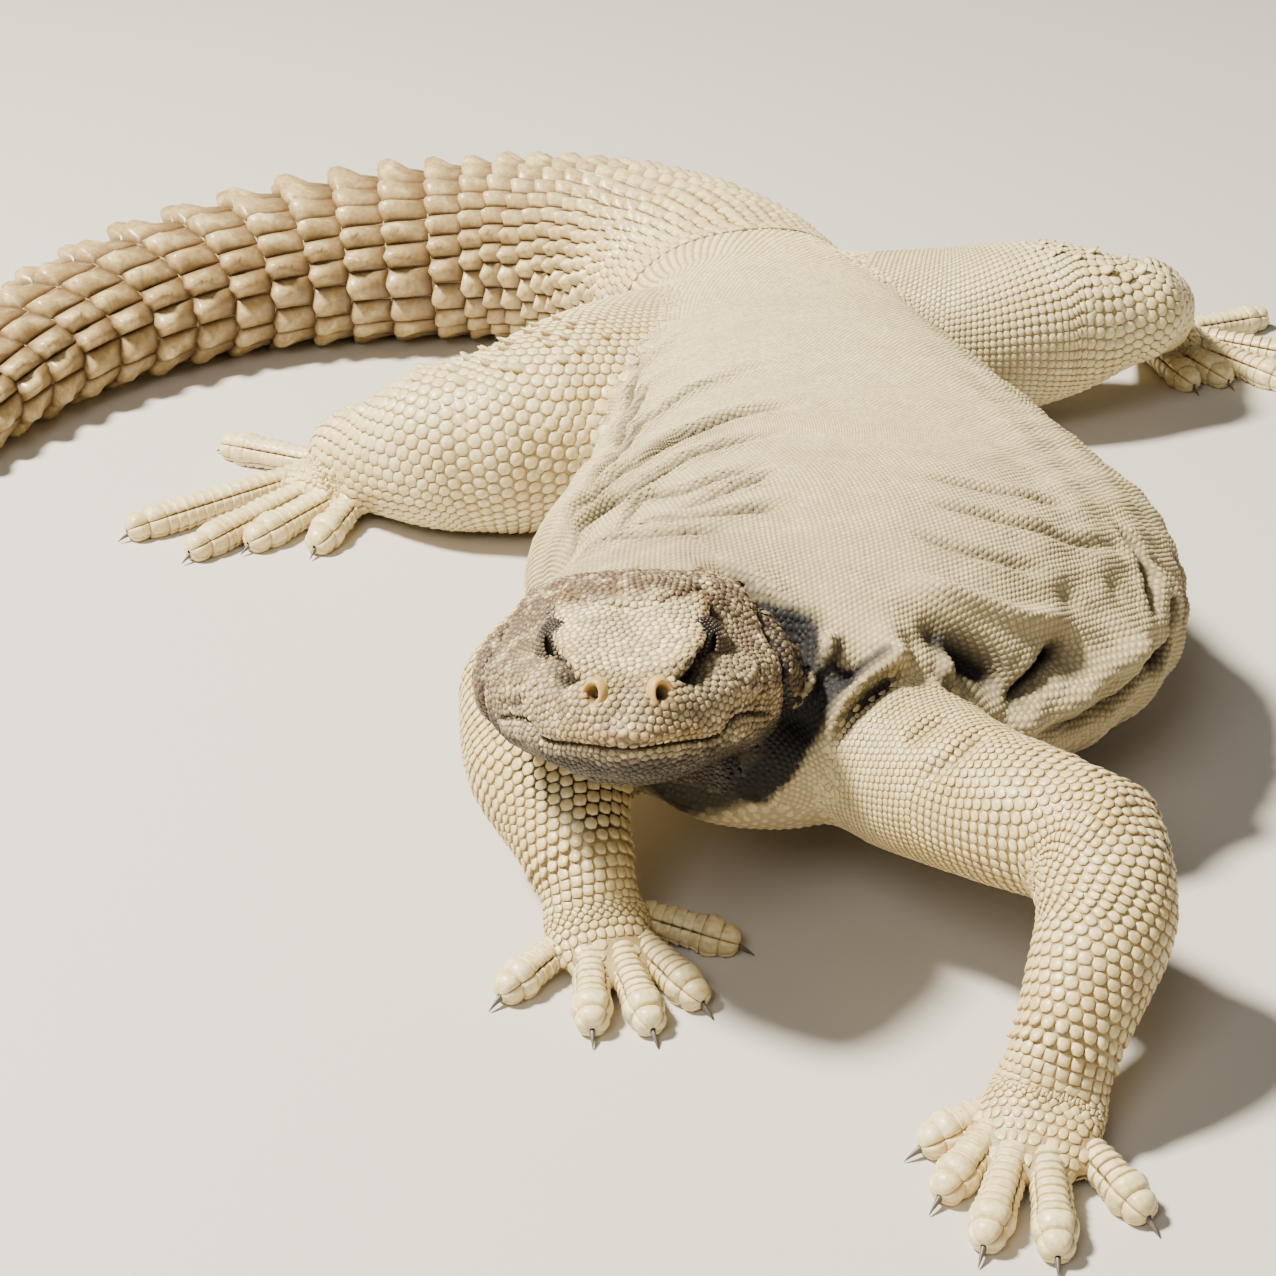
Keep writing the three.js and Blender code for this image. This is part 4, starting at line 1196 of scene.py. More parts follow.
def hide(name, own, colours, roughness, mottle, grain, vary=2.2):
    """Keratin over skin: pale crowns and tan seams, with the animal's blotches laid over both.

    Its own colours are the pale, the deep and the seam; where there is no horn, the back's take their place.
    Mottle and grain are the sizes of its blotches and flecks in millimetres. The smaller vary is, the more
    its scales differ.
    """
    material = bpy.data.materials.new(name)
    material.use_nodes = True
    tree = material.node_tree
    shader = tree.nodes["Principled BSDF"]
    where = add_node(tree, "ShaderNodeTexCoord").outputs["Object"]
    dusk = value_of(tree, "dusk")
    blotch, fleck, patch = (
        add_node(tree, "ShaderNodeTexNoise", {"Vector": where, "Scale": 1 / (size * MM), "Detail": detail,
                                              "Roughness": rough}).outputs["Fac"]
        for size, detail, rough in ((mottle, 4.0, 0.65), (grain, 2.0, 0.5), (mottle / 2.4, 3.0, 0.5))
    )
    horn = value_of(tree, "horn")
    back = three_of(colours, "back")
    pale, deep, seam = (blend_of(tree, horn, first, second) for first, second in zip(back, own))
    # Dusk deepens the mottling: real on the crown, painted shade under the jaw, behind the ears and on the
    # neck.
    share = add_node(tree, "ShaderNodeMath", {0: dusk, 1: 0.55, 2: 0.45}, operation="MULTIPLY_ADD")
    crown = blend_of(tree, times(tree, ramp_of(tree, blotch, 0.47, 0.72), share.outputs[0]), pale, deep)
    crown = blend_of(tree, times(tree, dusk, ramp_of(tree, patch, 0.28, 0.52)), crown, deep)
    crown = blend_of(tree, ramp_of(tree, value_of(tree, "tint"), 0.2, vary), crown, deep)
    crown = blend_of(tree, value_of(tree, "ochre"), crown, tuple(colours.ochre))
    body = blend_of(tree, ramp_of(tree, value_of(tree, "crest"), 0.0, 0.55), seam, crown)
    body = blend_of(tree, ramp_of(tree, fleck, 0.35, 1.4), body, seam)
    # The dark share mixes in painted shade: creases, folds, sockets, mouth, nostrils and the head's shadow on
    # the neck.
    body = blend_of(tree, value_of(tree, "dark"), body, tuple(colours.shadow))
    tree.links.new(body, shader.inputs["Base Color"])
    shader.inputs["Roughness"].default_value = roughness
    shader.inputs["IOR"].default_value = 1.5
    shader.inputs["Specular IOR Level"].default_value = 0.45
    bump = add_node(tree, "ShaderNodeBump", {"Height": fleck, "Strength": 0.35, "Distance": 0.25 * MM})
    tree.links.new(bump.outputs["Normal"], shader.inputs["Normal"])
    return material


def three_of(colours, part):
    """The pale, deep and seam colours of a part."""
    return [tuple(getattr(colours, part + end)) for end in ("", "_deep", "_seam")]


def plain(name, colour, roughness, ior=1.5, coat=0.0):
    """An even finish, with a wet coat where there is one."""
    material = bpy.data.materials.new(name)
    material.use_nodes = True
    shader = material.node_tree.nodes["Principled BSDF"]
    shader.inputs["Base Color"].default_value = (*colour, 1)
    shader.inputs["Roughness"].default_value = roughness
    shader.inputs["IOR"].default_value = ior
    shader.inputs["Coat Weight"].default_value = coat
    return material


def finishes():
    """The animal's finishes, made once and then shared by its pieces."""
    made = bpy.data.materials
    colours = bpy.context.scene.lizard_colours
    if "Granular hide of the back" not in made:
        legs, tail, head = (three_of(colours, part) for part in ("limb", "tail", "head"))
        # Fine dry granules: matt, warm grey, with darker dust between them.
        hide("Granular hide of the back", legs, colours, 0.72, 14, 0.9, 1.5)
        # The bare skin under the scales shows only in seams and folds.
        hide("Bare skin between scales", legs, colours, 0.8, 14, 0.7)
        # Beads of the head: cream and grey-brown, slightly polished.
        hide("Beaded scales of the head", head, colours, 0.45, 6, 0.6, 1.8)
        # Plates of the legs: sand-yellow keratin with a soft gloss and tan seams.
        hide("Plates of the legs", legs, colours, 0.34, 16, 1.1)
        # Scutes of the tail: thick worn horn, glossy on the spines.
        hide("Horny scutes of the tail", tail, colours, 0.32, 12, 1.3)
        # Claws: dark horn with a dull polish.
        plain("Claw horn", tuple(colours.claw), 0.4)
        # Eye: a wet, nearly black ball.
        plain("Dark wet eye", tuple(colours.eye), 0.06, 1.376, 1.0)
        # Iris: dark brown, seen through the wet surface.
        plain("Brown iris", tuple(colours.iris), 0.12, 1.376, 1.0)
    return made


# Settings


def colour_setting(label, text, description):
    return FloatVectorProperty(name=label, description=description, subtype="COLOR", size=3, min=0, max=1,
                               default=linear(text))


def length_setting(label, default, description):
    return FloatProperty(name=label, description=f"{description}, in millimetres", default=default, min=0.05)


class LizardSizes(PropertyGroup):
    """Sizes of the skin and its scales."""

    skin_depth: length_setting("Skin depth", 0.5, "How far the skin lies inside the outer shape")
    skin_grain: length_setting("Skin grain", 1.6, "Size of the skin's own faces")
    back_scale: length_setting("Back scale", 1.2, "Width of a granule of the back")
    belly_scale: length_setting("Belly scale", 2.4, "Width of a scale of the belly")
    arm_scale: length_setting("Arm scale", 2.9, "Width of a scale of the arms")
    leg_scale: length_setting("Leg scale", 4.0, "Width of a scale of the hind legs")
    finger_scale: length_setting("Finger scale", 1.9, "Length of a ring of plates on a finger")
    toe_scale: length_setting("Toe scale", 2.6, "Length of a ring of plates on a toe")
    head_scale: length_setting("Head scale", 1.42, "Width of a scale of the crown")
    scute_height: FloatProperty(name="Scute height", default=1.0, min=0,
                                description="How high the scutes of the tail are, over their usual height")


class LizardColours(PropertyGroup):
    """Colours of the hide, claws and eyes."""

    back: colour_setting("Back", "#dccc9a", "Pale grey-beige of the granules of the back")
    back_deep: colour_setting("Back, deep", "#ad9c76", "Darker blotches of the back")
    back_seam: colour_setting("Back seams", "#87775a", "Skin between the granules")
    head: colour_setting("Head", "#fae7b2", "Cream of the beads of the head")
    head_deep: colour_setting("Head, deep", "#655341", "Grey-brown mottling of the head")
    head_seam: colour_setting("Head seams", "#5f4b31", "Skin between the beads")
    limb: colour_setting("Legs", "#efdeab", "Cream of the scales of the legs")
    limb_deep: colour_setting("Legs, deep", "#d3ba7c", "Sand-yellow of the scales of the legs")
    limb_seam: colour_setting("Leg seams", "#6f5428", "Tan between the scales of the legs")
    tail: colour_setting("Tail", "#f2dda2", "Cream of the scutes")
    tail_deep: colour_setting("Tail, deep", "#ab9062", "Tan of the scutes")
    tail_seam: colour_setting("Tail seams", "#563c1f", "Brown between the scutes")
    ochre: colour_setting("Ochre", "#b88a2c", "Ochre of the brows, nostrils and lip")
    # Painted shade: the colour that the dark share mixes into creases, sockets, mouth, nostrils and the
    # head's shadow.
    shadow: colour_setting("Shadow", "#0f0a06", "Dark skin of the eye sockets and creases")
    claw: colour_setting("Claws", "#565047", "Grey horn")
    eye: colour_setting("Eyes", "#120d09", "Nearly black")
    iris: colour_setting("Iris", "#3b2412", "Dark brown")


class StageSettings(PropertyGroup):
    """The floor, light and camera."""

    floor: colour_setting("Floor", "#c4beb3", "Plain pale floor")
    key: FloatProperty(name="Key light", description="Power of the key light", default=97.0, min=0,
                       subtype="POWER", unit="POWER")
    fill: FloatProperty(name="Fill", description="Brightness of the surrounding light", default=0.13, min=0)
    lens: FloatProperty(name="Lens", description="Focal length", default=73.35, min=1, unit="CAMERA")


# Pieces

# The stage, in metres: where the camera stands and how far it looks up from straight down, half of the
# floor's side, and what the lights point at.
CAMERA_AT = (-0.044, -0.585, 0.288)
CAMERA_TILT = 62
FLOOR_HALF = 4.0
LIT_AT = np.array([-0.02, -0.05, 0.03])
# A light: name, place, width, share of the key light's power, colour.
LIGHTS = [
    ("Key_light", (-0.8, -0.12, 1.32), 0.24, 1.0, (1.0, 0.945, 0.83)),
    ("Front_light", (-0.5, -1.2, 1.2), 0.7, 0.1, (1.0, 0.98, 0.95)),
]
STUDIO_COLOUR = (1.0, 0.96, 0.9, 1)


def place_object(context, name, data, location=(0, 0, 0), rotation=(0, 0, 0)):
    made = bpy.data.objects.new(name, data)
    made.location = location
    made.rotation_euler = rotation
    context.scene.collection.objects.link(made)
    return made


class LIZARD_OT_stage(Operator):
    """Camera, floor and soft light"""

    bl_idname = "lizard.stage"
    bl_label = "Stage"

    def execute(self, context):
        settings = context.scene.lizard_stage
        lens = bpy.data.cameras.new("Camera")
        lens.lens = settings.lens
        lens.sensor_width = 36
        lens.clip_start = 0.01
        tilt = (math.radians(CAMERA_TILT), 0, 0)
        context.scene.camera = place_object(context, "Camera", lens, CAMERA_AT, tilt)
        corners = [(x * FLOOR_HALF, y * FLOOR_HALF, 0) for x, y in ((-1, -1), (1, -1), (1, 1), (-1, 1))]
        mesh = bpy.data.meshes.new("Floor")
        mesh.from_pydata(corners, [], [(0, 1, 2, 3)])
        # Matt painted board.
        mesh.materials.append(plain("Matt floor paint", tuple(settings.floor), 0.9))
        floor = place_object(context, "Floor", mesh)
        for name, place, size, share, colour in LIGHTS:
            light = bpy.data.lights.new(name, "AREA")
            light.shape = "DISK"
            light.size = size
            light.energy = settings.key * share
            light.color = colour
            x, y, z = LIT_AT - np.array(place)
            aim = (math.atan2(math.hypot(x, y), -z), 0, math.atan2(-x, y))
            place_object(context, name, light, place, aim)
        world = bpy.data.worlds.new("Studio")
        world.use_nodes = True
        background = world.node_tree.nodes["Background"]
        background.inputs["Color"].default_value = STUDIO_COLOUR
        background.inputs["Strength"].default_value = settings.fill
        context.scene.world = world
        return {"FINISHED"}


FLESH = [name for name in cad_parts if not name.startswith(("eye", "claw"))]


class LIZARD_OT_skin(Operator):
    """One skin over all the flesh, with its folds and the features of the face"""

    bl_idname = "lizard.skin"
    bl_label = "Skin"

    def execute(self, context):
        mesh, of_form, base = make_skin(context.scene.lizard_sizes)
        mesh.name = "Skin"
        SKIN.surface = skin_surface(mesh, of_form, base)
        of_head = of_form == NAMES.index("head")
        marks = shades_and_marks(np.where(of_head[:, None], points_of(mesh), base), of_head)
        marks["horn"][of_parts(of_form, ("head", "tail"))] = 1
        for paw, parts in LIMB_PARTS.items():
            mine = of_parts(of_form, [name for name in NAMES if name in parts or paw in name])
            marks["horn"][mine] = limb_horn(places_on(whole_limb(paw), SKIN.surface.points[mine]))
        add_values(mesh, crest=0.22, tint=0.5, **marks)
        skin = new_object(mesh, finishes()["Bare skin between scales"])
        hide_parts(*FLESH)
        for name in ("Beaded scales of the head", "Plates of the legs", "Horny scutes of the tail"):
            mesh.materials.append(finishes()[name])
        finish_of = {"trunk": 0, "neck": 0, "head": 1, "tail": 3}
        wears = np.array([finish_of.get(name, 2) for name in NAMES])
        corner = read(mesh.loops, "vertex_index", kind=np.int32)
        start = read(mesh.polygons, "loop_start", kind=np.int32)
        mesh.polygons.foreach_set("material_index", wears[of_form[corner[start]]].astype(np.int32))
        return {"FINISHED"}


# The angle from the animal's left, over its back, at which granules give way to the belly's scales.
BELLY_FROM = math.pi + 0.4
# Parts of the back, and the stations between which each lies.
BACK_PARTS = [
    ("nape", 0, 3.4),
    ("shoulders", 3.4, 5.4),
    ("mid_back", 5.4, 7.4),
    ("loins", 7.4, 10),
    ("rump", 10, TAIL_START),
]


class LIZARD_OT_back(Operator):
    """Fine granules in cross rows over the trunk and neck"""

    bl_idname = "lizard.back"
    bl_label = "Scales of the back"

    def execute(self, context):
        sizes = context.scene.lizard_sizes
        form = FORMS["trunk"][0]
        neck = FORMS["neck"][0]
        step = graded(sizes.back_scale, [0, 10.4, 12.2, TAIL_START], [1, 1, 1.6, 2.7])
        under = always(sizes.belly_scale)
        arc = (math.pi - BELLY_FROM, BELLY_FROM)
        belly = (BELLY_FROM, 3 * math.pi - BELLY_FROM)
        rows = rows_of(form, 0.4, TAIL_START, step, step, arc)
        back = bed_on(form, ("trunk", "neck"), *rows, step, (0, 0, 1, 0.7))
        back.radius = outlines(back, 5, 0.9)
        sides = bed_on(neck, ["neck"], *rows_of(neck, 0, len(NECK) - 1, step, step), step, (0, 0.75, 1, 0.24))
        rows = rows_of(form, 0.3, TAIL_START, under, under, belly)
        beds = {
            "Scales_of_the_neck": clear_of(sides, back),
            "Scales_of_the_belly": bed_on(form, ["trunk"], *rows, under, (0, 0, 1, 0.98)),
        }
        for name, first, last in BACK_PARTS:
            beds[f"Scales_of_the_{name}"] = part_of(back, (back.place >= first) & (back.place < last))
        for seed, (name, bed) in enumerate(beds.items()):
            profile, height = (CONE, 0.1) if name == "Scales_of_the_belly" else (GRANULE, 0.2)
            mesh = scale_mesh(name, bed, profile, 5, height * bed.size, reach=0.9, seed=seed)
            new_object(mesh, finishes()["Granular hide of the back"])
        return {"FINISHED"}


def upper_wider(angles):
    """Scales are widest on the upper side and small underneath."""
    return 0.66 + 0.34 * smooth(0.7 + np.sin(angles))


# Round a digit: middle and half angle of the wide plate above, of those at its sides, and of those below.
RING_PLATES = [(90, 58), (178, 29), (2, 29), (237, 30), (303, 36)]


def ring_height(across, along, kind):
    """A ring's plate rises to its free edge; towards the tip of a digit it is a smooth bulge instead."""
    wall = (1 - np.abs(across) ** 6) * smooth((1.02 - along) / 0.1)
    ring = wall * (0.12 + 0.88 * along**1.1) - 0.25 * (1 - wall)
    bulge = wall * smooth(along / 0.25) * (1 - 0.35 * (2 * along - 1) ** 2)
    return np.where(kind > 0.5, bulge, ring)


def digit_plates(form, size):
    """Rings of plates along a digit, ending in a bulge over the knuckle and a long smooth cap."""
    fine = np.linspace(0, form.last + 0.9, 200)
    run = run_of(form.points(fine, math.pi / 2))
    cap = run[-1] - 2.6 * size
    bulge = cap - 1.9 * size
    rings = max(int(round(bulge / size)), 1)
    marks = [*np.linspace(0, bulge, rings + 1), cap, run[-1]]
    plates = []
    for number, (first, last) in enumerate(zip(marks[:-1], marks[1:])):
        kind = float(number >= rings)
        start, stop = np.interp([first, last + 0.12 * size], run, fine)
        for middle, half in RING_PLATES:
            tall = 0.42 * size ** 0.5 * (1.35 if middle == 90 else 0.9) * (1.15 if kind else 1)
            plates.append((start, stop, math.radians(middle), math.radians(half), tall, kind))
    return plates


# Along a limb, places where its scales change, and their widths and lengths there over the usual. The first
# three are near the body, where arms and hind legs differ.
LIMB_MARKS = [0.9, 1.7, 2.6, 5.2, 6.0, 6.6, 8.5]
ARM_ROOT = [0.45, 0.55, 0.95]
LEG_ROOT = [0.42, 0.7, 1]
OUTER_WIDTHS = [1, 0.9, 0.72, 0.6]
OUTER_LENGTHS = [1, 1.1, 0.95, 0.9]
SHORTER = 0.86
# How many of the scales above a hind leg are spines, and where the rough cuff over the ankle lies.
SPINY_SHARE = 0.16
CUFF_AT = 5.75


class LIZARD_OT_limbs(Operator):
    """Overlapping plates on the arms, legs, hands and feet"""

    bl_idname = "lizard.limbs"
    bl_label = "Scales of the legs"

    def execute(self, context):
        sizes = context.scene.lizard_sizes
        random = np.random.default_rng(2)
        for seed, (paw, parts) in enumerate(LIMB_PARTS.items()):
            arm = paw.startswith("hand")
            size = sizes.arm_scale if arm else sizes.leg_scale
            form = whole_limb(paw)
            root = ARM_ROOT if arm else LEG_ROOT
            width = graded(size, LIMB_MARKS, root + OUTER_WIDTHS)
            length = graded(SHORTER * size, LIMB_MARKS, root + OUTER_LENGTHS)
            found = rows_of(form, 0.3, form.end - 0.1, length, width, wide_at=upper_wider)
            bed = bed_on(form, (*parts, paw), *found, width, (0, 0, 1, 0.3), reach=7)
            above = smooth((np.sin(bed.angle) - 0.8) / 0.15) * smooth((bed.place - 1.5) / 0.5)
            above = above * smooth((5.5 - bed.place) / 0.6) * (0 if arm else 1)
            spiny = np.where(random.uniform(0, 1, len(bed.at)) < SPINY_SHARE, above, 0)
            cuff = hump(bed.place - CUFF_AT, 0.22)
            height = 0.14 * bed.size * (1 + 1.0 * spiny + 0.9 * cuff)
            tilt = 0.4 + 0.5 * np.maximum(spiny, cuff)
            # The dark share of these scales is painted shade in the valleys of the folds.
            mesh = scale_mesh(f"Scales_of_{parts[1]}", bed, PLATE, 8, height, tilt=tilt[:, None], reach=0.85,
                              peak=0.6 * spiny + 0.15, seed=seed,
                              own={"horn": limb_horn(bed.place), "dark": 0.6 * valley_shade(bed.root)})
            new_object(mesh, finishes()["Plates of the legs"])
            step = sizes.finger_scale if arm else sizes.toe_scale
            for digit in range(5):
                name = f"{paw}_{digit + 1}"
                form = FORMS[name][0]
                mesh = plate_mesh(f"Plates_of_{name}", form, digit_plates(form, step), ring_height,
                                  seed=seed + digit, rect=(0, 0.35 + 0.12 * digit, 1, 0.1))
                new_object(mesh, finishes()["Plates of the legs"])
        return {"FINISHED"}


# Along the tail, in millimetres from its root: length of a whorl, width of a scute, height of its spine.
TAIL_MARKS = [0, 20, 45, 75, 100, 118, 200, 330, 420]
WHORL_LENGTHS = [3.4, 4.4, 5.8, 7.4, 9.0, 13.5, 15.8, 12.5, 8.5]
SCUTE_WIDTHS = [3.2, 4.2, 5.6, 7.0, 8.4, 9.6, 10.0, 7.4, 4.6]
SCUTE_HEIGHTS = [0.5, 1.0, 1.7, 2.4, 3.0, 3.6, 3.8, 2.8, 1.6]
GAP_SHARES = [0, 0, 0, 0, 0.02, 0.06, 0.06, 0.06, 0.06]


def scute_rows():
    """Whorls of the tail: from which place to which each runs, and the sizes of its scutes."""
    form = FORMS["tail"][0]
    fine = np.linspace(TAIL_START - 0.25, len(SPINE) - 1, 600)
    run = run_of(through(form.stations, fine)[:, :3])
    done, rows = 0.0, []
    while done < run[-1] - 2:
        length, width, height, gap = (
            float(np.interp(done, TAIL_MARKS, marks))
            for marks in (WHORL_LENGTHS, SCUTE_WIDTHS, SCUTE_HEIGHTS, GAP_SHARES)
        )
        stop = min(done + length, run[-1])
        start_place, stop_place = np.interp([done, stop], run, fine)
        ring = form.points(np.full(80, (start_place + stop_place) / 2), np.linspace(0, 2 * math.pi, 80))
        around = run_of(ring)[-1]
        rows.append((start_place, stop_place, max(int(round(around / width)), 8), height, gap))
        done = stop
    return rows


def scute_height(across, along, kind):
    """A rounded block, with a blunt knob at its free end that is steep behind."""
    wall = (1 - np.abs(across) ** 5) * smooth((along + 0.02) / 0.14) * smooth((1.03 - along) / 0.08)
    block = 0.12 + 0.36 * smooth((along - 0.1) / 0.6)
    knob = 0.85 * hump(across, 0.42) * hump(along - 0.8, 0.22)
    return wall * (block + knob) - 0.12 * (1 - wall)


class LIZARD_OT_tail(Operator):
    """Whorls of keeled scutes round the tail"""

    bl_idname = "lizard.tail"
    bl_label = "Scutes of the tail"

    def execute(self, context):
        scale = context.scene.lizard_sizes.scute_height
        form = FORMS["tail"][0]
        plates = []
        for number, (start, stop, count, tall, gap) in enumerate(scute_rows()):
            shift = 0.5 * (number % 2) if gap < 0.05 else 0.0
            first = start + (stop - start) * gap
            for scute in range(count):
                middle = (scute + shift) / count * 2 * math.pi + 0.35
                lift = 0.45 + 0.55 * smooth(0.9 + math.sin(middle))
                plates.append((first, stop + 0.06 * (stop - start), middle, 0.985 * math.pi / count,
                               tall * scale * lift, 0))
        # Fade paints shade into the low troughs of the scutes.
        mesh = plate_mesh("Scutes_of_the_tail", form, plates, scute_height, lean=0.5, fade=0.28, dusty=14)
        new_object(mesh, finishes()["Horny scutes of the tail"])
        return {"FINISHED"}


# How often granules are moved apart, in the folds and on the head.
SETTLING_ROUNDS = 8
PACKING_ROUNDS = 22


class LIZARD_OT_folds(Operator):
    """Small granules wherever stretched skin and the edges of other scales leave it bare"""

    bl_idname = "lizard.folds"
    bl_label = "Granules of the folds"

    def execute(self, context):
        surface = SKIN.surface
        size = context.scene.lizard_sizes.back_scale
        laid = np.concatenate([at for at, _ in SKIN.laid])
        widths = np.concatenate([widths for _, widths in SKIN.laid])
        tree = tree_of(laid)
        body = np.isin(surface.form, [number for number, name in enumerate(NAMES)
                                      if name in ("trunk", "neck") or name.startswith(("upper", "thigh"))])
        middle = surface.points[surface.faces[body]].mean(axis=1)
        near = [tree.find(point) for point in middle]
        gap = np.array([found[2] for found in near])
        own = np.clip(widths[[found[1] for found in near]], size, 2 * size)
        bare = np.flatnonzero(gap > 0.85 * own)
        random = np.random.default_rng(8)
        taken, cells = [], {}
        for index in random.permutation(bare):
            point, room = middle[index], 0.86 * own[index]
            cell = tuple((point // 3).astype(int))
            around = [other for x in (-1, 0, 1) for y in (-1, 0, 1) for z in (-1, 0, 1)
                      for other in cells.get((cell[0] + x, cell[1] + y, cell[2] + z), ())]
            if all(np.linalg.norm(middle[other] - point) > room for other in around):
                cells.setdefault(cell, []).append(index)
                taken.append(index)
        points, own = middle[taken], own[taken]
        for _ in range(SETTLING_ROUNDS):
            everything = np.concatenate([points, laid])
            sizes = np.concatenate([own, widths])
            points = snapped(points + pushed(points, everything, own, sizes, 1.0))[0]
        out = snapped(points)[1]
        gap = np.array([tree.find(point)[2] for point in points])
        keep = gap > 0.55 * own
        points, out, own = points[keep], out[keep], own[keep]
        lie = unit(np.cross(out, np.array([1.0, 0.1, 0.0])))
        uv = np.stack([np.clip((points[:, 1] + 180) / 400, 0, 1), np.clip(points[:, 2] / 75, 0, 1)], -1)
        _, under, _ = nearest(surface.search, points)
        root = surface.base[surface.faces[under]].mean(axis=1)
        bed = SimpleNamespace(at=points, root=root, out=out, lie=lie, uv=uv, size=own)
        mesh = scale_mesh("Granules_of_the_folds", bed, GRANULE, 5, 0.2 * own, reach=0.62, seed=12)
        new_object(mesh, finishes()["Granular hide of the back"])
        return {"FINISHED"}


def bead_size(local):
    """Width of the head's scales over their usual width: large on the lip's middle, small round the eyes."""
    face = face_of(local)
    across, forward, up = face.T
    beyond, edge = beyond_brow(face)
    size = 1.0 + 0.1 * smooth((forward - 30) / 12) * smooth((up + 6) / 3)
    size = size - 0.25 * hump(gap_to(face, (16.5, -31, 4.6)), 7)
    size = size - 0.25 * edge * hump(beyond - 1.6, 2)
    size = size - 0.22 * smooth((-up - 8) / 4)
    size = size - 0.15 * smooth((6 - forward) / 8)
    return size + 0.9 * hump(across / 3.2, 1) * hump(up - mouth_height(forward) - 1.6, 1.4) * (forward > 51)


def lip_points(offset, spacing):
    """A row of points along the mouth, this far above its line, from one corner round to the front."""
    form = FORMS["head"][0]
    forward = np.linspace(MOUTH_CORNER + 1, 54, 80)
    up = mouth_height(forward) + offset
    places = np.interp(forward, form.sections[:, 0], np.arange(form.last + 1))
    deep = through(form.sections, places)[:, 3]
    left = form.local(places, -np.arcsin(np.clip(-up / deep, 0, 1) ** (SQUARENESS / 2)))
    run = run_of(left)
    wanted = np.arange(0, run[-1], spacing)
    side = np.stack([np.interp(wanted, run, left[:, axis]) for axis in range(3)], -1)
    return from_head(np.concatenate([side, side * [-1, 1, 1]]))


class LIZARD_OT_head(Operator):
    """Beads over the head, closely packed"""

    bl_idname = "lizard.head"
    bl_label = "Scales of the head"

    def execute(self, context):
        base = context.scene.lizard_sizes.head_scale
        surface = SKIN.surface
        random = np.random.default_rng(3)
        corners = surface.points[surface.faces]
        area = np.linalg.norm(np.cross(corners[:, 1] - corners[:, 0], corners[:, 2] - corners[:, 0]), axis=1)
        area = 0.5 * area * (surface.form == NAMES.index("head"))
        middle = corners.mean(axis=1)
        share = area / (base * bead_size(into_head(middle))) ** 2
        count = int(share.sum() / 0.9)
        chosen = random.choice(len(share), count, p=share / share.sum())
        fixed = np.concatenate([lip_points(0.8, base), lip_points(-0.75, base * 0.9)])
        points = np.concatenate([snapped(fixed)[0], middle[chosen] + random.normal(0, 0.3, (count, 3))])
        for _ in range(PACKING_ROUNDS):
            size = base * bead_size(into_head(points))
            move = pushed(points, points, size, size, 1.12)
            move[: len(fixed)] = 0
            points, out, owner, _ = snapped(points + move)
        nose = gap_to(face_of(into_head(points)), NOSTRIL_AT)
        keep = (owner == NAMES.index("head")) & (nose > 2.6)
        points, out = points[keep], out[keep]
        local = into_head(points)
        size = base * bead_size(local)
        lie = along_skin(from_head(local + [0, 1, 0]) - points, out)
        around = np.arctan2(local[:, 2], local[:, 0]) / (2 * math.pi) + 0.5
        uv = np.stack([np.clip((-local[:, 1] + 8) / 66, 0, 1), around], -1)
        bed = SimpleNamespace(at=points, out=out, lie=lie, uv=uv, size=size)
        mesh = scale_mesh("Scales_of_the_head", bed, BEAD, 6, 0.2 * size, reach=0.8, seed=4, own={"horn": 1},
                          of_head=True)
        new_object(mesh, finishes()["Beaded scales of the head"])
        return {"FINISHED"}


def eye_axes(side):
    """Which way an eye looks, the way its slit runs, and the way its lids open, in the head's frame."""
    out = unit(np.array([side * 0.46, -0.8, 0.24]))
    tilt = math.radians(SLIT_TILT)
    slit = np.array([0, -math.cos(tilt), -math.sin(tilt)])
    slit = unit(slit - out * (slit @ out))
    return out, slit, np.cross(slit, out) * side


def lid_points(side, radius, u, v):
    """Points of a ball round the eye, given by their offsets along the slit and across it."""
    out, slit, rise = eye_axes(side)
    centre = np.array(EYE_AT) * [side, 1, 1]
    depth = np.sqrt(np.maximum(radius**2 - u**2 - v**2, 0.01))
    return from_head(centre + out * depth[..., None] + slit * u[..., None] + rise * v[..., None])


LID_REACH = 6.1
LID_STEPS = [0, 0.02, 0.05, 0.1, 0.16, 0.22, 0.28, 0.34, 0.4, 0.46, 0.52, 0.58, 0.64, 0.7, 0.8, 1.0]
SLIT_LENGTH = 6.0
SLIT_HEIGHT = 1.8


def lens_line(step, turn):
    """Offsets round the slit: step 0 is the edge of the lids, 1 their outermost ring."""
    long = (1 - step) * SLIT_LENGTH / 2 + step * LID_REACH
    high = (1 - step) * SLIT_HEIGHT / 2 * (1 - 0.3 * np.cos(turn) ** 2) + step * LID_REACH
    return long * np.cos(turn), high * np.sin(turn)


def make_eye(side, word):
    """A ball whose pole looks outwards, with a round pupil and a brown iris."""
    axes = np.stack(eye_axes(side)) @ HEAD_AXES.T
    centre = from_head(np.array([EYE_AT]) * [side, 1, 1])[0]
    rows, sides = 32, 40
    polar = np.linspace(0.02, math.pi - 0.02, rows)[:, None]
    turn = full_turn(sides)
    ball = np.stack([np.cos(polar) * np.ones_like(turn), np.sin(polar) * np.cos(turn),
                     np.sin(polar) * np.sin(turn)], -1) * (EYE_RADIUS - 0.05)
    vertices, quads, fans = closed_grid(ball @ axes + centre)
    mesh = new_mesh(f"Eye_{word}", vertices, quads, fans)
    eye = new_object(mesh, finishes()["Dark wet eye"])
    mesh.materials.append(finishes()["Brown iris"])
    ring = np.concatenate([np.repeat(np.arange(rows - 1), sides), np.zeros(sides), np.full(sides, rows)])
    mesh.polygons.foreach_set("material_index", ((ring >= 3) & (ring < 8)).astype(np.int32))
    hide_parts(f"eye_{word}")


def lid_shade(points):
    """Painted shade on the lids, darkest under the brow's overhang."""
    return 0.3 + 0.6 * smooth((4.2 - beyond_brow(face_of(into_head(points)))[0]) / 3)


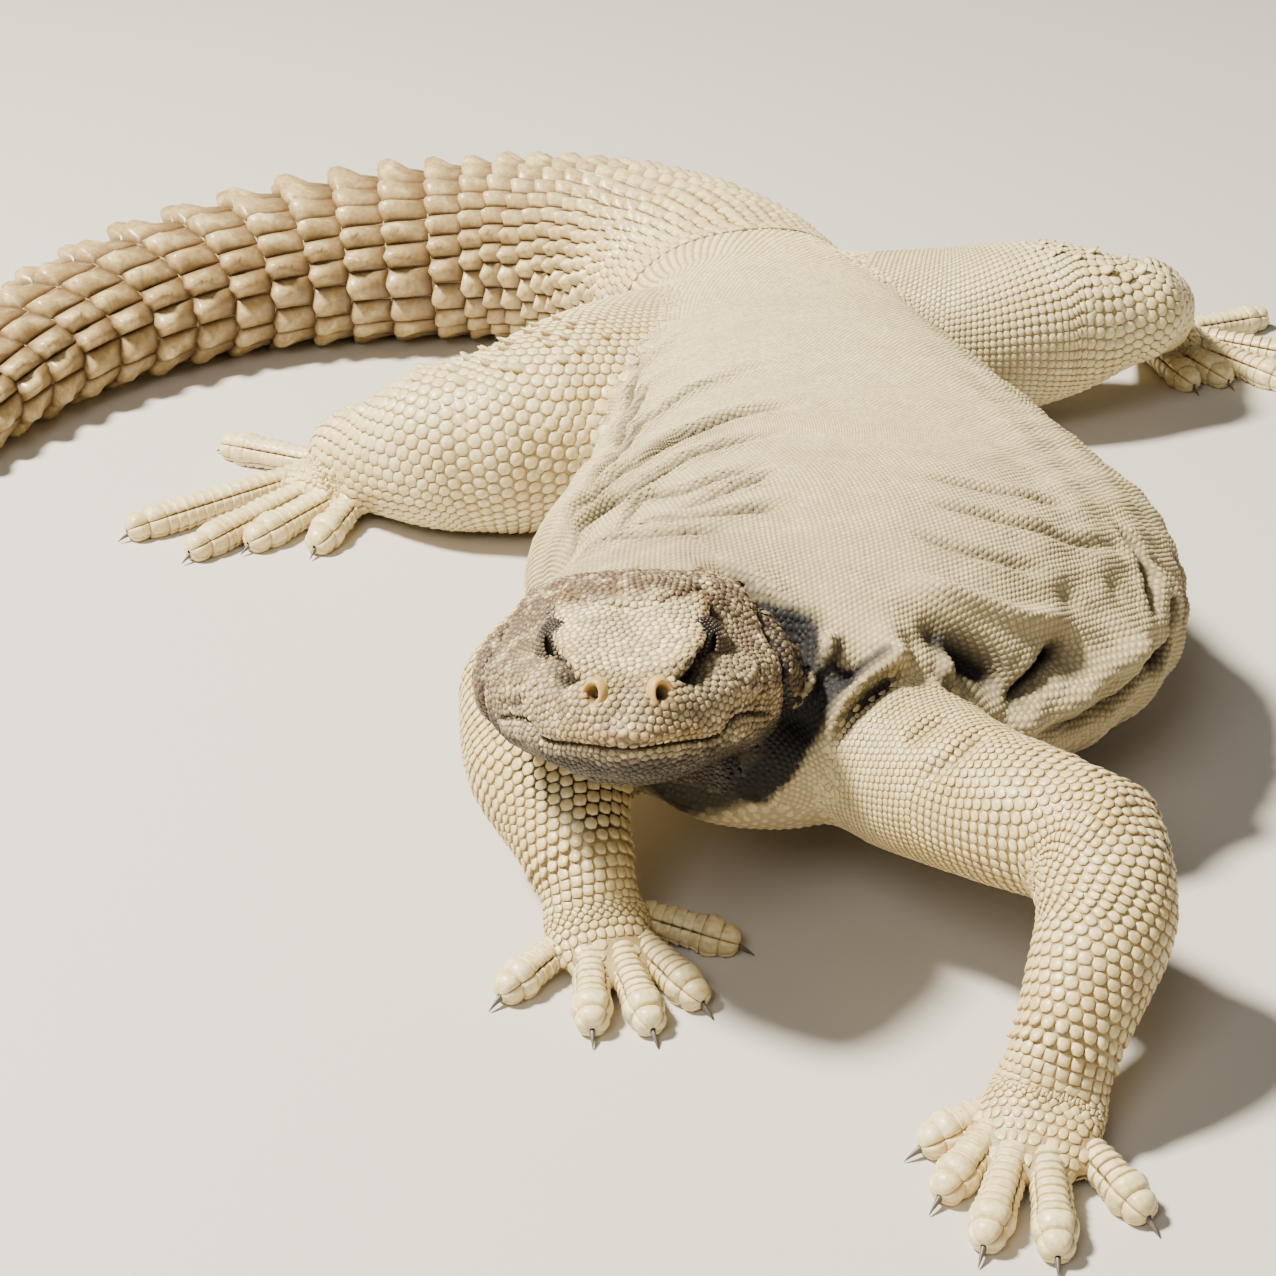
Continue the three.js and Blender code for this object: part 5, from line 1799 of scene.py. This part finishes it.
def make_lids(side, word):
    """Two heavy lids over the eye with folds round the slit, and the fine scales that cover them."""
    steps = np.array(LID_STEPS)[:, None]
    turn = full_turn(60)
    thick = 0.1 + 0.75 * smooth(steps / 0.07) + 0.16 * np.sin(steps * 34) * smooth(steps * 6)
    shell = lid_points(side, EYE_RADIUS + thick, *lens_line(steps, turn))
    index = np.arange(shell.shape[0] * shell.shape[1]).reshape(shell.shape[:2])
    quads = quads_between(index, np.roll(index, -1, axis=1))
    mesh = new_mesh(f"Lids_{word}", shell.reshape(-1, 3), quads if side < 0 else quads[:, ::-1])
    # Painted shade on the lids: darkest at the edge of the slit and under the brow.
    edge = np.repeat(1 - smooth(steps / 0.12), turn.size)
    dark = np.maximum(lid_shade(shell.reshape(-1, 3)), edge)
    add_values(mesh, crest=0.3, tint=0.5, ochre=0, dusk=1, horn=1, dark=dark)
    new_object(mesh, finishes()["Beaded scales of the head"])
    width = 0.8
    at = []
    for step in np.arange(0.07, 0.95, 0.13):
        fine = np.linspace(0, 2 * math.pi, 200)
        u, v = lens_line(step, fine)
        run = np.concatenate([[0], np.cumsum(np.hypot(np.diff(u), np.diff(v)))])
        number = int(run[-1] / width)
        wanted = (np.arange(number) + 0.5 * (len(at) % 2)) / number * run[-1]
        at.append(lid_points(side, EYE_RADIUS + 0.84, np.interp(wanted, run, u), np.interp(wanted, run, v)))
    at = np.concatenate(at)
    out = unit(at - from_head(np.array([EYE_AT]) * [side, 1, 1]))
    lie = unit(np.cross(out, [0.2, 0.3, 1.0]))
    uv = np.stack([np.linspace(0, 1, len(at)), np.full(len(at), 0.5)], -1)
    bed = SimpleNamespace(at=at, out=out, lie=lie, uv=uv, size=np.full(len(at), width))
    # The lid scales carry the same painted shade under the brow.
    own = {"horn": 1, "dusk": 1, "dark": lid_shade(at)}
    mesh = scale_mesh(f"Lid_scales_{word}", bed, BEAD, 6, 0.2, reach=0.75, seed=6, own=own)
    new_object(mesh, finishes()["Beaded scales of the head"])


# A nostril's rim, from the skin over its top and down the funnel: away from the middle, and outwards.
NOSTRIL_PROFILE = [
    (2.7, -0.9), (2.5, -0.1), (2.25, 0.5), (1.95, 0.75), (1.7, 0.72), (1.5, 0.35), (1.3, -0.5), (0.9, -1.6),
]
NOSTRIL_TALLER = 1.35


def make_nostril(side, word):
    """A raised rim round the nostril, and the funnel inside it."""
    place = from_head(np.array([NOSTRIL_AT]) * [side, 1, 1])
    out = HEAD_AXES @ unit(np.array([side * 0.5, -0.8, 0.33]))
    offset = SKIN.surface.points - place
    level = offset @ out
    away = np.linalg.norm(offset - level[:, None] * out, axis=1)
    at = place + out * level[(away > 1.9) & (away < 2.7) & (np.abs(level) < 6)].mean()
    across = unit(np.cross(out, UP))
    rise = np.cross(across, out)
    turn = full_turn(36)
    away, lift = np.array(NOSTRIL_PROFILE).T[:, :, None]
    lift = lift + 0.25 * np.sin(turn)
    high = NOSTRIL_TALLER * away * np.sin(turn)
    ring = at + across * (away * np.cos(turn))[..., None] + rise * high[..., None]
    ring = ring + out * lift[..., None]
    vertices, quads, fans = closed_grid(ring)
    mesh = new_mesh(f"Nostril_{word}", vertices, quads[:, ::-1], fans[turn.size:, ::-1])
    step = np.repeat(np.arange(len(NOSTRIL_PROFILE)), turn.size)
    inner = np.concatenate([smooth((step - 4) / 3), [1, 1]])
    # Painted shade deep inside the funnel.
    add_values(mesh, crest=0.85, tint=0.2, dusk=0, horn=1, ochre=0.8 + 0.2 * inner,
               dark=0.55 * smooth(inner * 1.4 - 0.3))
    new_object(mesh, finishes()["Beaded scales of the head"])


class LIZARD_OT_eyes(Operator):
    """Eyes with their lids, and the rims of the nostrils"""

    bl_idname = "lizard.eyes"
    bl_label = "Eyes, lids and nostrils"

    def execute(self, context):
        for side, word in ((1, "left"), (-1, "right")):
            make_eye(side, word)
            make_lids(side, word)
            make_nostril(side, word)
        return {"FINISHED"}


def claw_rings(knuckle, tip, width):
    """Rings of points along a claw, which curves down from the top of its digit's tip."""
    ahead = unit(np.array([tip[0] - knuckle[0], tip[1] - knuckle[1], 0.0]))
    part = np.linspace(0, 1, 12)[:, None]
    turn = full_turn(14)
    size = CLAW_ROOT * (1 - 0.92 * part**1.3)
    high = 0.62 * width + 0.3 * np.sin(part * 2.6) - 1.7 * part**2
    root = np.array([tip[0], tip[1], 0.0]) - ORIGIN
    ring = root + ahead * (CLAW_LENGTH * part - 0.6)[..., None]
    ring = ring + np.cross(ahead, UP) * (size * 0.72 * np.cos(turn))[..., None]
    return ring + UP * (high + size * np.sin(turn))[..., None]


class LIZARD_OT_claws(Operator):
    """Short curved claws at the tips of the digits"""

    bl_idname = "lizard.claws"
    bl_label = "Claws"

    def execute(self, context):
        for paw, (_, digits, width) in PAWS.items():
            mesh = joined(f"Claws_of_{paw}", [claw_rings(*digit, width) for digit in digits], FLOOR_GAP)
            claws = new_object(mesh, finishes()["Claw horn"])
            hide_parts(*[f"claw_{paw}_{index + 1}" for index in range(len(digits))])
        return {"FINISHED"}


class LIZARD_PT_panel(Panel):
    """Sizes, colours and pieces of the lizard"""

    bl_label = "Lizard"
    bl_idname = "LIZARD_PT_panel"
    bl_space_type = "VIEW_3D"
    bl_region_type = "UI"
    bl_category = "Lizard"

    def draw(self, context):
        for step in STEPS:
            self.layout.operator(step.bl_idname)
        for group in (context.scene.lizard_sizes, context.scene.lizard_colours, context.scene.lizard_stage):
            box = self.layout.box()
            for key in group.__annotations__:
                box.prop(group, key)


STEPS = (
    LIZARD_OT_stage,
    LIZARD_OT_skin,
    LIZARD_OT_back,
    LIZARD_OT_limbs,
    LIZARD_OT_tail,
    LIZARD_OT_head,
    LIZARD_OT_folds,
    LIZARD_OT_eyes,
    LIZARD_OT_claws,
)
CLASSES = (LizardSizes, LizardColours, StageSettings, *STEPS, LIZARD_PT_panel)


def register():
    for kind in CLASSES:
        bpy.utils.register_class(kind)
    bpy.types.Scene.lizard_sizes = PointerProperty(type=LizardSizes)
    bpy.types.Scene.lizard_colours = PointerProperty(type=LizardColours)
    bpy.types.Scene.lizard_stage = PointerProperty(type=StageSettings)


def unregister():
    del bpy.types.Scene.lizard_stage
    del bpy.types.Scene.lizard_colours
    del bpy.types.Scene.lizard_sizes
    for kind in reversed(CLASSES):
        bpy.utils.unregister_class(kind)


def main():
    register()
    bpy.ops.lizard.stage()
    bpy.ops.lizard.skin()
    bpy.ops.lizard.back()
    bpy.ops.lizard.limbs()
    bpy.ops.lizard.tail()
    bpy.ops.lizard.head()
    bpy.ops.lizard.folds()
    bpy.ops.lizard.eyes()
    bpy.ops.lizard.claws()


if __name__ == "__main__":
    main()
